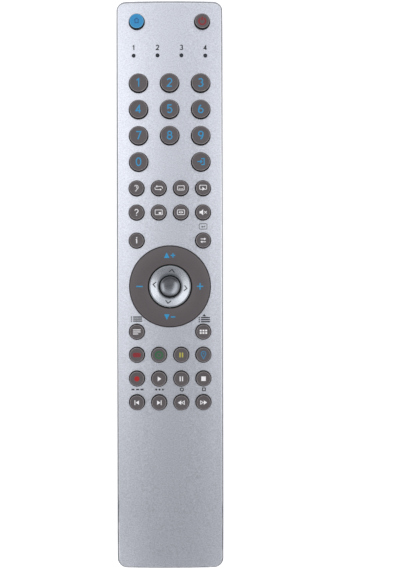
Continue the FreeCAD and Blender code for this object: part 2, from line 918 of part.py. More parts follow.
def carbon_contacts():
    """The black contact pills inside the domes."""
    low = board_top + pill_air
    pills = []
    for x, y, base, tip, top, pill in dome_places():
        pills.append(rod(x, y, low, low + pill_thickness, pill))
    return Part.makeCompound(pills)


def key(x, y, radius):
    """One key: a round cap with a flange under the cover and a slightly dished top."""
    top = crown_z(x) + key_height
    flange_top = underside(x, radius + key_flange) - key_flange_gap
    cap = rod(x, y, key_bottom, top, radius)
    cap = round_edges(cap, lambda edge: edge.BoundBox.ZMin > top - close, key_rounding)
    flange = rod(x, y, flange_top - key_flange_thickness, flange_top, radius + key_flange)
    dish_width = radius - key_rounding
    dish_sphere = (dish_width ** 2 + key_dish_depth ** 2) / (2 * key_dish_depth)
    dish = Part.makeSphere(dish_sphere, Vector(x, y, top - key_dish_depth + dish_sphere))
    return cap.fuse(flange).cut(dish)


def rocker_ring():
    """The wide ring that tilts up, down, left and right, with two ears for its pins."""
    top = crown_top + rocker_height
    edge_top = top - rocker_edge_drop
    outer = rocker_outer_radius
    inner = rocker_inner_radius
    flange_top = rocker_bottom + rocker_flange_thickness
    wide = rocker_reach
    middle = (outer + inner) / 2
    points = [
        (inner, rocker_bottom), (wide, rocker_bottom), (wide, flange_top), (outer, flange_top),
        (outer, edge_top), (middle, top), (inner, edge_top),
    ]
    corners = [Vector(r, rocker_y, z) for r, z in points]
    edges = [Part.makeLine(a, b) for a, b in zip(corners[:4], corners[1:5])]
    edges.append(Part.Arc(corners[4], corners[5], corners[6]).toShape())
    edges.append(Part.makeLine(corners[6], corners[0]))
    ring = Part.Face(Part.Wire(edges)).revolve(Vector(0, rocker_y, 0), Vector(0, 0, 1), 360)

    def top_rim(edge):
        return abs(edge.BoundBox.ZMin - edge_top) < close and is_ring(edge)

    ring = round_edges(ring, top_rim, rocker_rounding)
    ear = box(
        ear_inner, ear_outer, rocker_y - ear_width / 2, rocker_y + ear_width / 2,
        tilt_z - tilt_pin_radius - ear_lip, rocker_bottom + sink,
    )
    bore = bar(
        Vector(-ear_outer - through, rocker_y, tilt_z), Vector(1, 0, 0), 2 * (ear_outer + through),
        tilt_pin_radius + tilt_pin_clearance,
    )
    return ring.fuse([ear, mirrored(ear)]).cut(bore)


def is_ring(edge):
    """Whether an edge is a full circle."""
    return edge.isClosed() and hasattr(edge.Curve, "Radius")


def rocker_tilt_ring():
    """The tilt ring under the rocker: one pair of pins for each way that the rocker tilts."""
    low = tilt_z - tilt_ring_thickness / 2
    high = tilt_z + tilt_ring_thickness / 2
    ring = rod(0, rocker_y, low, high, tilt_ring_outer).cut(rod(0, rocker_y, low, high, tilt_ring_inner))
    pins = []
    middle = (tilt_ring_inner + tilt_ring_outer) / 2
    outward_reach = ear_outer + tilt_pin_overhang - middle
    inward_reach = middle - dish_radius + tilt_pin_depth
    for side in (-1, 1):
        outward = Vector(side, 0, 0)
        inward = Vector(0, -side, 0)
        pins.append(bar(Vector(side * middle, rocker_y, tilt_z), outward, outward_reach, tilt_pin_radius))
        pins.append(bar(Vector(0, rocker_y + side * middle, tilt_z), inward, inward_reach, tilt_pin_radius))
    return ring.fuse(pins)


def nav_dish():
    """The silver dish in the middle of the rocker, standing on the board on a round wall."""
    rim = crown_top + dish_lift
    floor = rim - dish_sink
    hole = knob_radius + knob_gap
    inner = dish_radius - dish_wall
    points = [
        (hole, floor - dish_wall), (inner, floor - dish_wall), (inner, board_top), (dish_radius, board_top),
        (dish_radius, rim), (dish_radius - dish_rim, rim), (hole, floor),
    ]
    dish = turned(points, 0, rocker_y)
    peg_x = dish_radius - dish_wall / 2
    pegs = [
        rod(x, rocker_y, board_bottom + dish_peg_gap, board_top + sink, dish_peg_radius)
        for x in (-peg_x, peg_x)
    ]
    dish = dish.fuse(pegs)
    bore = bar(
        Vector(0, rocker_y - dish_radius - through, tilt_z), Vector(0, 1, 0), 2 * (dish_radius + through),
        tilt_pin_radius + tilt_pin_clearance,
    )
    return dish.cut(bore)


def nav_switch():
    """The square switch under the knob, with a round well for its tilting ring."""
    half = switch_size / 2
    body = box(-half, half, rocker_y - half, rocker_y + half, board_top, board_top + switch_height)
    body = round_edges(body, lambda edge: edge.BoundBox.ZLength > switch_height / 2, switch_corner)
    well = rod(
        0, rocker_y, board_top + switch_floor, board_top + switch_height + through, switch_well_radius
    )
    reach = switch_well_radius + gimbal_bore_depth
    bore = bar(
        Vector(-reach, rocker_y, gimbal_z), Vector(1, 0, 0), 2 * reach,
        gimbal_pin_radius + gimbal_pin_clearance,
    )
    return body.cut([well, bore])


def nav_gimbal():
    """The small tilting ring inside the switch."""
    low = gimbal_z - gimbal_thickness / 2
    high = gimbal_z + gimbal_thickness / 2
    ring = rod(0, rocker_y, low, high, gimbal_outer_radius)
    ring = ring.cut(rod(0, rocker_y, low, high, gimbal_inner_radius))
    middle = (gimbal_outer_radius + gimbal_inner_radius) / 2
    reach = switch_well_radius + gimbal_pin_depth - middle
    pins = [
        bar(Vector(side * middle, rocker_y, gimbal_z), Vector(side, 0, 0), reach, gimbal_pin_radius)
        for side in (-1, 1)
    ]
    bore = bar(
        Vector(0, rocker_y - gimbal_outer_radius - through, gimbal_z), Vector(0, 1, 0),
        2 * (gimbal_outer_radius + through), gimbal_pin_radius + gimbal_pin_clearance,
    )
    return ring.fuse(pins).cut(bore)


def nav_stem():
    """The upright stem that carries the knob, on two pins in the tilting ring."""
    low = gimbal_z - gimbal_thickness / 2
    stem = rod(0, rocker_y, low, stem_top(), stem_radius)
    pins = bar(
        Vector(0, rocker_y - gimbal_outer_radius, gimbal_z), Vector(0, 1, 0),
        2 * gimbal_outer_radius, gimbal_pin_radius,
    )
    return stem.fuse(pins)


def knob_bottom():
    """Underside of the knob's neck, clear of the switch when it is pressed."""
    return board_top + switch_height + knob_travel + knob_rest_gap


def stem_top():
    """Top of the stem, inside the knob."""
    return knob_bottom() + knob_neck_length + stem_overlap


def nav_knob():
    """The round OK knob: a dished cap on a neck, with a socket for the stem."""
    top = crown_top + knob_height
    skirt = knob_bottom() + knob_neck_length
    cap = rod(0, rocker_y, skirt, top, knob_radius)
    cap = round_edges(cap, lambda edge: edge.BoundBox.ZMin > top - close, knob_rounding)
    neck = rod(0, rocker_y, knob_bottom(), skirt + sink, knob_neck_radius)
    width = knob_radius - knob_rounding
    sphere = (width ** 2 + knob_dish_depth ** 2) / (2 * knob_dish_depth)
    dish = Part.makeSphere(sphere, Vector(0, rocker_y, top - knob_dish_depth + sphere))
    socket_top = stem_top() + knob_travel + stem_end_gap
    socket = rod(0, rocker_y, knob_bottom() - through, socket_top, stem_radius + stem_socket_gap)
    return cap.fuse(neck).cut([dish, socket])


def indicator_light_pipes():
    """The four small lenses in the cover, each with a flange under it."""
    pipes = []
    for x, y in indicator_places():
        flange_top = underside(x, pipe_radius + pipe_flange) - pipe_flange_gap
        lamp_top = board_top + lamp_height
        lens = rod(x, y, lamp_top + pipe_lamp_gap, crown_z(x) + pipe_proud, pipe_radius)
        flange = rod(x, y, flange_top - pipe_flange_thickness, flange_top, pipe_radius + pipe_flange)
        pipes.append(lens.fuse(flange))
    return Part.makeCompound(pipes)


def indicator_leds():
    """The surface lamps on the board, one under each lens."""
    lamps = []
    half = lamp_width / 2
    long_half = lamp_length / 2
    lens_half = long_half - lamp_lens_inset
    middle = board_top + lamp_height / 2
    for x, y in indicator_places():
        body = box(x - half, x + half, y - long_half, y + long_half, board_top, middle)
        lens = box(x - half, x + half, y - lens_half, y + lens_half, middle, board_top + lamp_height)
        lamps.append(body.fuse(lens))
    return Part.makeCompound(lamps)


def ir_leds():
    """Two infrared lamps in the board's notch, their leads soldered to both faces."""
    back = board_top_y - board_notch_depth + ir_lamp_gap
    z = (board_bottom + board_top) / 2
    straight = ir_lamp_length - ir_lamp_radius
    half = ir_lead_width / 2
    lead_low = back - ir_lead_reach
    lead_high = back + sink
    lamps = []
    for x in (-ir_lamp_spacing / 2, ir_lamp_spacing / 2):
        start = Vector(x, back, z)
        rim = bar(start, Vector(0, 1, 0), ir_lamp_rim_thickness, ir_lamp_radius + ir_lamp_rim)
        body = bar(start, Vector(0, 1, 0), straight, ir_lamp_radius)
        tip = Part.makeSphere(ir_lamp_radius, Vector(x, back + straight, z))
        leads = [
            box(x - half, x + half, lead_low, lead_high, board_top, board_top + ir_lead_width),
            box(x - half, x + half, lead_low, lead_high, board_bottom - ir_lead_width, board_bottom),
        ]
        lamps.append(rim.fuse([body, tip] + leads))
    return Part.makeCompound(lamps)


def controller_chip():
    """The main chip under the board, with its legs."""
    rear = row_y(chip_row) - chip_length / 2
    high = board_bottom - chip_stand_off
    body = box(-chip_width / 2, chip_width / 2, rear, rear + chip_length, high - chip_height, high)
    legs = []
    pitch = (chip_length - 2 * chip_leg_margin) / (chip_leg_count - 1)
    reach = chip_width / 2 + chip_leg_reach
    half = chip_leg_width / 2
    for i in range(chip_leg_count):
        y = rear + chip_leg_margin + i * pitch
        legs.append(box(-reach, reach, y - half, y + half, board_bottom - chip_leg_thickness, board_bottom))
    return body.fuse(legs)


def board_components():
    """The crystal, the capacitor and the row of resistors under the board."""
    pieces = []
    crystal_y = row_y(crystal_row)
    crystal = box(
        -crystal_width / 2, crystal_width / 2, crystal_y, crystal_y + crystal_depth,
        board_bottom - crystal_height, board_bottom,
    )
    pieces.append(round_edges(crystal, lambda edge: edge.BoundBox.ZLength > close, crystal_corner))
    can = bar(
        Vector(capacitor_column, row_y(capacitor_row), board_bottom - capacitor_radius),
        Vector(0, 1, 0), capacitor_length, capacitor_radius,
    )
    pieces.append(can)
    long_half = resistor_length / 2
    half = resistor_width / 2
    low = board_bottom - resistor_height
    for i in range(resistor_count):
        y = row_y(resistor_row) - i * resistor_pitch
        for x in (-resistor_column, resistor_column):
            pieces.append(box(x - long_half, x + long_half, y - half, y + half, low, board_bottom))
    return Part.makeCompound(pieces)


def batteries():
    """Two slim cells side by side, pointing opposite ways."""
    cells = []
    for x, front in ((-cell_x, True), (cell_x, False)):
        body_length = cell_length - nub_length
        if front:
            start = tray_front - contact_thickness - cell_length
            body = bar(Vector(x, start, cell_z), Vector(0, 1, 0), body_length, cell_radius)
            nub = bar(Vector(x, start, cell_z), Vector(0, 1, 0), cell_length, nub_radius)
        else:
            start = tray_rear + contact_thickness
            body = bar(Vector(x, start + nub_length, cell_z), Vector(0, 1, 0), body_length, cell_radius)
            nub = bar(Vector(x, start, cell_z), Vector(0, 1, 0), cell_length, nub_radius)
        cells.append(body.fuse(nub))
    return Part.makeCompound(cells)


def battery_contacts():
    """The spring steel plates at the two ends of the tray, the front pair with solder tails."""
    low = deck_z + contact_end_gap
    high = tray_top - contact_end_gap
    pieces = []
    half = contact_width / 2
    half_tail = contact_tail_width / 2
    front = tray_front - contact_thickness
    rear = tray_rear + contact_thickness
    for x in (-cell_x, cell_x):
        face = box(x - half, x + half, front, tray_front, low, high)
        tail = box(
            x - half_tail, x + half_tail, front, board_tail_y + contact_tail_reach,
            board_bottom - contact_thickness, board_bottom,
        )
        pieces.append(face.fuse(tail))
    bridge = box(-cell_x - half, cell_x + half, tray_rear, rear, low, cell_z)
    uppers = [box(x - half, x + half, tray_rear, rear, low, high) for x in (-cell_x, cell_x)]
    half_slot = divider_thickness / 2 + contact_notch_gap
    slot = box(
        -half_slot, half_slot, tray_rear - through, tray_rear + through, cell_z - contact_end_gap, tray_top
    )
    pieces.append(bridge.fuse(uppers).cut(slot))
    return Part.makeCompound(pieces)


def arc_between(start, tangent, end):
    """The arc that leaves a point along a tangent and ends at another point."""
    chord = end.sub(start)
    half = chord.Length / 2
    along = Vector(chord).normalize()
    forward = Vector(tangent).normalize()
    side = forward.sub(Vector(along).multiply(forward.dot(along)))
    angle = math.asin(min(1.0, side.Length))
    side.normalize()
    middle = start.add(Vector(along).multiply(half)).add(side.multiply(half * math.tan(angle / 2)))
    return Part.Arc(start, middle, end).toShape()


def biarc(start, start_tangent, end, end_tangent):
    """Two tangent arcs from one point and direction to another."""
    span = end.sub(start)
    total = start_tangent.add(end_tangent)
    both = 2 * (1 - start_tangent.dot(end_tangent))
    along = span.dot(total)
    reach = (math.sqrt(along ** 2 + both * span.dot(span)) - along) / both
    from_start = start.add(Vector(start_tangent).multiply(reach))
    from_end = end.sub(Vector(end_tangent).multiply(reach))
    joint = from_start.add(from_end).multiply(0.5)
    back = arc_between(end, Vector(end_tangent).multiply(-1), joint)
    return [arc_between(start, start_tangent, joint), back]


def coil_point(turn, x, start_y, direction, climb):
    """A point of the conical coil's centre line and its direction, after some turns."""
    share = turn / spring_turns
    radius = spring_base_radius + (spring_tip_radius - spring_base_radius) * share
    angle = 2 * math.pi * turn
    point = Vector(
        x + radius * math.cos(angle), start_y + direction * climb * share, cell_z + radius * math.sin(angle)
    )
    shrink = (spring_tip_radius - spring_base_radius) / spring_turns / (2 * math.pi)
    tangent = Vector(
        shrink * math.cos(angle) - radius * math.sin(angle),
        direction * climb / spring_turns / (2 * math.pi),
        shrink * math.sin(angle) + radius * math.cos(angle),
    )
    return point, tangent.normalize()


def coil_spring(x, plate_y, direction):
    """One conical battery spring, as one unbroken wire from its plate to its cell."""
    climb = spring_space - spring_wire - spring_slack
    start_y = plate_y + direction * (spring_wire / 2 + spring_lift)
    edges = []
    for quarter in range(4 * spring_turns):
        start, start_tangent = coil_point(quarter / 4, x, start_y, direction, climb)
        end, end_tangent = coil_point((quarter + 1) / 4, x, start_y, direction, climb)
        edges.extend(biarc(start, start_tangent, end, end_tangent))
    first, first_tangent = coil_point(0, x, start_y, direction, climb)
    last, last_tangent = coil_point(spring_turns, x, start_y, direction, climb)
    lead = first.sub(Vector(first_tangent).multiply(spring_wire))
    tail = last.add(Vector(last_tangent).multiply(spring_wire))
    path = Part.Wire(Part.__sortEdges__([Part.makeLine(lead, first)] + edges + [Part.makeLine(last, tail)]))
    circle = Part.Wire(Part.makeCircle(spring_wire / 2, lead, first_tangent))
    return path.makePipeShell([circle], True, False)


def coil_gap(x, plate_y, direction):
    """The least gap between neighbouring turns of a battery spring, measured on points."""
    climb = spring_space - spring_wire - spring_slack
    steps = 48
    line = [
        coil_point(i / steps, x, plate_y, direction, climb)[0] for i in range(spring_turns * steps + 1)
    ]
    least = min(
        a.distanceToPoint(b)
        for i, a in enumerate(line)
        for b in line[i + steps // 2:]
    )
    return least - spring_wire


def battery_springs():
    """The two conical springs, one at each end of the tray."""
    front = coil_spring(cell_x, tray_front - contact_thickness, -1)
    rear = coil_spring(-cell_x, tray_rear + contact_thickness, 1)
    print("least gap between spring turns:", round(coil_gap(cell_x, tray_front, -1), 3))
    return Part.makeCompound([front, rear])


def screw(x, y, seat):
    """A pan head screw with a round recess, its head under the seat."""
    low = seat - screw_head_height
    head = rod(x, y, low, seat, screw_head_radius)
    head = round_edges(head, lambda edge: edge.BoundBox.ZMax < low + close, screw_head_rounding)
    shank = rod(x, y, seat - sink, seat + screw_shank_length, screw_shank_radius)
    recess = rod(x, y, low - through, low + screw_slot_depth, screw_slot_radius)
    return head.fuse(shank).cut(recess)


def screws():
    """Six screws hold the board to the cover, and two under the door hold the case together."""
    pieces = [screw(x, y, board_bottom) for x, y in board_screws]
    pieces += [screw(x, y, case_screw_seat) for x, y in case_screws]
    return Part.makeCompound(pieces)


def write(name, shape):
    """Write one sub-part, and say how many solids it has."""
    shape = shape.removeSplitter() if shape.ShapeType != "Compound" else shape
    solids = shape.Solids
    valid = all(solid.isValid() for solid in solids)
    shape.exportStep(f"parts/{name}.step")
    volume = sum(solid.Volume for solid in solids)
    print(f"{name}: {len(solids)} solids, {volume:.1f} mm3, valid {valid}")


def main():
    os.makedirs("parts", exist_ok=True)
    shell = outer_shell()
    write("front_cover", front_cover())
    write("rear_housing", rear_housing(shell))
    write("battery_door", battery_door(shell))
    write("ir_window", ir_window())
    write("main_board", main_board())
    write("keypad_mat", keypad_mat())
    write("carbon_contacts", carbon_contacts())
    write("rocker_ring", rocker_ring())
    write("rocker_tilt_ring", rocker_tilt_ring())
    write("nav_dish", nav_dish())
    write("nav_switch", nav_switch())
    write("nav_gimbal", nav_gimbal())
    write("nav_stem", nav_stem())
    write("nav_knob", nav_knob())
    write("indicator_light_pipes", indicator_light_pipes())
    write("indicator_leds", indicator_leds())
    write("ir_leds", ir_leds())
    write("controller_chip", controller_chip())
    write("board_components", board_components())
    write("batteries", batteries())
    write("battery_contacts", battery_contacts())
    write("battery_springs", battery_springs())
    write("screws", screws())
    for name, x, y, radius in key_places():
        write(name, key(x, y, radius))


main()
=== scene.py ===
# %% [markdown]
# # A television remote control, from CAD to picture
#
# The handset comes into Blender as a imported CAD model, with every key, cover and spring already
# in its place. This lesson gives it its finishes, prints its keys and lights it like a product
# photograph. Each step says what the piece is on the real object and why it is made this way.

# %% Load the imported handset
import json
import bmesh
import bpy
import numpy as np
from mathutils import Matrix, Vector


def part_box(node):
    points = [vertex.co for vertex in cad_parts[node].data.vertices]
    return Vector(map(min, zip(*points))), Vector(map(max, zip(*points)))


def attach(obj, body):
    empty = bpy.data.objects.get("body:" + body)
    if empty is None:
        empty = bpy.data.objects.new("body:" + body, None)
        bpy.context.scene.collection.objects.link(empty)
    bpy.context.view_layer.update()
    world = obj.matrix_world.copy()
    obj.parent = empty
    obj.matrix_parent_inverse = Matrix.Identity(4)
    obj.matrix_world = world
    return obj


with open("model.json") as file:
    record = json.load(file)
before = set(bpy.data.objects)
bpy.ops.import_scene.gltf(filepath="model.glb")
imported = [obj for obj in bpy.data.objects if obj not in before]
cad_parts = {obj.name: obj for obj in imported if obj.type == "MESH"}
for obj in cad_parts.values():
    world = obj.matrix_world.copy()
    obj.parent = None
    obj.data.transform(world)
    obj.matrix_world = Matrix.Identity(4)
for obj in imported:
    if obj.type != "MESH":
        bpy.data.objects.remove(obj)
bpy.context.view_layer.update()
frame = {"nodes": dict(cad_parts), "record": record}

# %% [markdown]
# ## Sizes
#
# Blender works in metres and the handset was drawn in millimetres, so one factor turns one into the
# other. A few sizes are repeated here, because print has to lie exactly on its surface. The
# surfaces could be read off the loaded meshes point by point, but a surface's own formula is exact
# and shorter.

# %% Sizes that the print needs
mm = 0.001
case_width = 44.8
face_top = 18.0
crown_rise = 1.1
tail_fall = 1.1
tail_fall_length = 35.0
tail_fall_start = -85.0
number_key_radius = 3.95
small_key_radius = 3.2
key_rounding = 0.45
key_dish_depth = 0.12
ring_centre_y = -0.85
ring_top = 19.7
ring_edge_drop = 0.35
ring_inner = 9.2
ring_outer = 16.95
bowl_floor = 18.5
bowl_rim = 19.3
bowl_inner = 4.7
bowl_outer = 8.2
print("case", case_width, "mm wide, face", face_top, "mm up")

# %% [markdown]
# ## Colours and nodes
#
# Colours are picked as the sRGB values that a photograph shows, while a shader wants linear light.
# The standard sRGB curve turns one into the other. Each node could be added, set and linked in
# lines of its own, but that is long and hides what the material is. One helper adds any shader node
# instead: it sets the node up, links or fills its inputs, and hands back the output that the next
# node needs.

# %% Colour and node helpers
def linear(hex_colour):
    """sRGB hex to linear RGBA: c / 12.92 up to 0.04045, above it ((c + 0.055) / 1.055) to the power 2.4."""
    srgb = np.array([int(hex_colour[i:i + 2], 16) for i in (1, 3, 5)]) / 255
    light = np.where(srgb <= 0.04045, srgb / 12.92, ((srgb + 0.055) / 1.055) ** 2.4)
    return (*light.tolist(), 1.0)


def add_node(tree, kind, inputs=None, output=0, stops=(), **settings):
    """Adds a node of a kind. An input is another node's output, a hex colour or a plain value; stops are
    the places and hex colours of a colour ramp."""
    node = tree.nodes.new("ShaderNode" + kind)
    for name, value in settings.items():
        setattr(node, name, value)
    if stops:
        ramp = node.color_ramp.elements
        for position, colour in stops[1:-1]:
            ramp.new(position)
        for element, (position, colour) in zip(ramp, stops):
            element.position, element.color = position, linear(colour)
    for socket, value in (inputs or {}).items():
        if isinstance(value, bpy.types.NodeSocket):
            tree.links.new(value, node.inputs[socket])
        else:
            node.inputs[socket].default_value = linear(value) if isinstance(value, str) else value
    return node.outputs[output] if node.outputs else None


def new_material(name):
    """An empty node material, its tree, and the place of each point on the piece in metres."""
    material = bpy.data.materials.new(name)
    material.use_nodes = True
    tree = material.node_tree
    tree.nodes.clear()
    return material, tree, add_node(tree, "TexCoord", output="Object")


# a colour mix takes its inputs at sockets 0, 6 and 7 and gives its colour at output 2
colour_mix = {"output": 2, "data_type": "RGBA"}
finishes = {}
print("helpers ready")

# %% [markdown]
# ## Silver lacquer on the face
#
# The face is moulded ABS with a metallic lacquer: tiny aluminium flakes in a clear binder. The
# flakes lie at slightly different angles, so the silver looks finely speckled and its highlight is
# broad. A flake is about 0.05 mm across, too fine for this picture, so the speckle is drawn at 0.5
# mm. It could come from a picture of such paint wrapped round the cover, but a noise in space has
# no seams and needs no picture. The faint cool tint comes from the lacquer. Over the rounded rim the
# colour holds painted shade, a dark grey band, and along the rim's crest a painted highlight, a
# near-white line. The upward part of the surface's normal tells them apart: it is 1 on a flat top
# and 0 on a wall. At the head and the tail, where the normal leans lengthways and the rim is rounder,
# the painted rim shade is lighter, so that its band stays narrow.

# %% Silver lacquer
flake = 0.5 * mm
full_film = "#dee1ea"
# painted shade for the rounded rim, a painted highlight for its crest, and a lighter painted shade for the
# ends
painted_rim_shade = "#6b6e74"
painted_rim_highlight = "#f4f5f8"
painted_end_rim_shade = "#b0b3ba"
material, tree, place = new_material("silver_metallic_lacquer_on_abs")
facing = add_node(tree, "TexCoord", output="Normal")
upward = add_node(tree, "SeparateXYZ", {0: facing}, output="Z")
# lacquer on the top, painted shade over the rounded rim and a painted highlight along its crest
rim = add_node(tree, "ValToRGB", {"Fac": upward}, stops=(
    (0.3, full_film), (0.6, painted_rim_shade), (0.92, painted_rim_shade),
    (0.96, painted_rim_highlight), (0.984, painted_rim_highlight), (0.993, full_film),
))
leaning = add_node(tree, "SeparateXYZ", {0: facing}, output="Y")
lengthways = add_node(tree, "Math", {0: leaning}, operation="ABSOLUTE")
end = add_node(tree, "MapRange", {"Value": lengthways, "From Min": 0.15, "From Max": 0.4})
flakes = add_node(tree, "TexNoise", {"Vector": place, "Scale": 1 / flake, "Detail": 3.0, "Roughness": 0.7})
sparkle = add_node(tree, "ValToRGB", {"Fac": flakes}, stops=((0.3, "#d8d8d8"), (0.7, "#ffffff")))
# the painted rim shade is made lighter at the head and the tail
film = add_node(tree, "Mix", {0: end, 6: rim, 7: painted_end_rim_shade}, **colour_mix, blend_type="LIGHTEN")
silver = add_node(tree, "Mix", {0: 1.0, 6: film, 7: sparkle}, **colour_mix, blend_type="MULTIPLY")
satin = add_node(tree, "MapRange", {
    "Value": flakes, "From Min": 0.3, "From Max": 0.7, "To Min": 0.3, "To Max": 0.4,
})
grit = add_node(tree, "Bump", {"Height": flakes, "Distance": 0.003 * mm, "Strength": 0.5})
add_node(tree, "OutputMaterial", {"Surface": add_node(tree, "BsdfPrincipled", {
    "Base Color": silver, "Metallic": 1.0, "Roughness": satin, "Normal": grit,
})})
finishes["silver_cover"] = material
print("finish:", material.name)

# %% [markdown]
# ## Dark textured ABS
#
# The back and the door are charcoal ABS from a spark-eroded mould. Its grain, about 0.1 mm, takes
# the shine off and hides fingerprints. It could be pushed into the mesh itself, but that would take
# millions of faces, so a bump turns the light instead. The grain is drawn at 0.25 mm with a bump of
# 0.02 mm, over a faint change of tone where the plastic flowed.

# %% Dark textured ABS
grain_width = 0.25 * mm
flow_length = 18 * mm
material, tree, place = new_material("charcoal_abs_spark_eroded")
grain = add_node(tree, "TexNoise", {
    "Vector": place, "Scale": 1 / grain_width, "Detail": 4.0, "Roughness": 0.65,
})
flow = add_node(tree, "TexNoise", {"Vector": place, "Scale": 1 / flow_length, "Detail": 1.0})
tone = add_node(tree, "Math", {0: grain, 1: flow}, operation="ADD")
charcoal = add_node(tree, "ValToRGB", {"Fac": tone}, stops=((0.8, "#0f1013"), (1.0, "#17181b")))
matte = add_node(tree, "MapRange", {
    "Value": grain, "From Min": 0.3, "From Max": 0.7, "To Min": 0.42, "To Max": 0.58,
})
eroded = add_node(tree, "Bump", {"Height": grain, "Distance": 0.02 * mm, "Strength": 0.6})
add_node(tree, "OutputMaterial", {"Surface": add_node(tree, "BsdfPrincipled", {
    "Base Color": charcoal, "Roughness": matte, "IOR": 1.53, "Specular IOR Level": 0.3, "Normal": eroded,
})})
finishes["dark_case"] = material
print("finish:", material.name)

# %% [markdown]
# ## Smoked acrylic, lenses and lamps
#
# The infrared window is acrylic dyed so that infrared passes and most light doesn't. Polished
# acrylic has an IOR of 1.49. The small lenses on the face are the same plastic with less dye, and
# look dark because the board behind them is dark. They could be wholly clear with a dyed film
# behind them, but a dark colour with a little transmission looks the same from outside and has less
# noise. Faint flow marks keep them from looking painted.

# %% Smoked acrylic, lenses and lamps
flow_mark = 2 * mm
for slot, name, dark, light, clear in (
    ("smoked_window", "smoked_infrared_acrylic", "#1d1e21", "#292b2f", 0.2),
    ("clear_lens", "light_guide_acrylic", "#242a32", "#30363f", 0.3),
    ("ir_lamp", "blue_black_epoxy_lens", "#141a2c", "#1d2540", 0.4),
):
    material, tree, place = new_material(name)
    flow = add_node(tree, "TexNoise", {"Vector": place, "Scale": 1 / flow_mark, "Detail": 2.0})
    dye = add_node(tree, "ValToRGB", {"Fac": flow}, stops=((0.35, dark), (0.65, light)))
    polish = add_node(tree, "MapRange", {"Value": flow, "To Min": 0.07, "To Max": 0.14})
    ripple = add_node(tree, "Bump", {"Height": flow, "Distance": 0.01 * mm, "Strength": 0.15})
    add_node(tree, "OutputMaterial", {"Surface": add_node(tree, "BsdfPrincipled", {
        "Base Color": dye, "Roughness": polish, "IOR": 1.49, "Transmission Weight": clear, "Normal": ripple,
    })})
    finishes[slot] = material
    print("finish:", material.name)

# %% [markdown]
# ## Keys
#
# The keys and the ring are moulded plastic, sprayed with a warm grey satin lacquer, so their tops
# are grey. The blue key is sprayed the same way. Their walls hold painted shade: a dark colour where
# the surface turns down, and matte through roughness alone. Tops and walls could be given a material
# each, but the loaded meshes stay as they are, so the way the surface faces tells them apart: its
# normal's upward part is 1 on a flat top and 0 on a wall. Between the two a painted highlight leaves
# a thin lighter line on the crest. On the ring the painted highlight is next to nothing and the
# painted shade on its wall is weak.

# %% Satin keys
spray_dot = 0.35 * mm
# each row: painted shade for the walls, a painted highlight for the crest, and the lacquer of the top
for slot, name, painted_wall_shade, painted_crest_highlight, top in (
    ("grey_key", "warm_grey_satin_key_lacquer", "#1c191a", "#b1a9ab", "#544e50"),
    ("blue_key", "bright_blue_satin_key_lacquer", "#101b22", "#7cc4ea", "#2489c0"),
    ("ring", "warm_grey_satin_ring_lacquer", "#4a4446", "#615a5c", "#544e50"),
):
    material, tree, place = new_material(name)
    facing = add_node(tree, "TexCoord", output="Normal")
    upward = add_node(tree, "SeparateXYZ", {0: facing}, output="Z")
    # dark walls are painted shade and the lighter crest line is a painted highlight
    lacquer_and_painted_edge_light = add_node(tree, "ValToRGB", {"Fac": upward}, stops=(
        (0.84, painted_wall_shade), (0.9, top), (0.92, painted_crest_highlight), (0.972, painted_crest_highlight), (0.985, top),
    ))
    spray = add_node(tree, "TexNoise", {
        "Vector": place, "Scale": 1 / spray_dot, "Detail": 3.0, "Roughness": 0.6,
    })
    grain = add_node(tree, "ValToRGB", {"Fac": spray}, stops=((0.3, "#eeeeee"), (0.7, "#ffffff")))
    lacquer = add_node(tree, "Mix", {0: 1.0, 6: lacquer_and_painted_edge_light, 7: grain}, **colour_mix, blend_type="MULTIPLY")
    satin = add_node(tree, "MapRange", {
        "Value": spray, "From Min": 0.3, "From Max": 0.7, "To Min": 0.36, "To Max": 0.46,
    })
    peel = add_node(tree, "Bump", {"Height": spray, "Distance": 0.006 * mm, "Strength": 0.5})
    bare = add_node(tree, "MapRange", {
        "Value": upward, "From Min": 0.84, "From Max": 0.95, "To Min": 1.0, "To Max": 0.0,
    })
    dull = add_node(tree, "Math", {0: satin, 1: bare}, operation="MAXIMUM")
    add_node(tree, "OutputMaterial", {"Surface": add_node(tree, "BsdfPrincipled", {
        "Base Color": lacquer, "Roughness": dull, "Normal": peel,
    })})
    finishes[slot] = material
    print("finish:", material.name)

# %% [markdown]
# ## Metallised dish and knob
#
# The dish and the knob are plastic with a thin metal skin over a satin base. The knob is darker.
# Towards the knob's rim and in the foot of the dish round the knob the colour holds painted shade,
# which darkens the metal where shade falls between the two. How dark depends only on the distance
# from the knob's upright axis. The mould was turned on a lathe, which leaves rings too fine to
# count. They could be cut into the mesh, but they are finer than its faces, so they are drawn 0.25 mm
# apart as a wave texture on the same distance.

# %% Metallised dish and knob
painted_shade_radius = 8.5 * mm
ring_spacing = 0.25 * mm
cloud_size = 1.5 * mm
# a ring wave of scale 1 repeats every 0.314
wave_period = 0.314
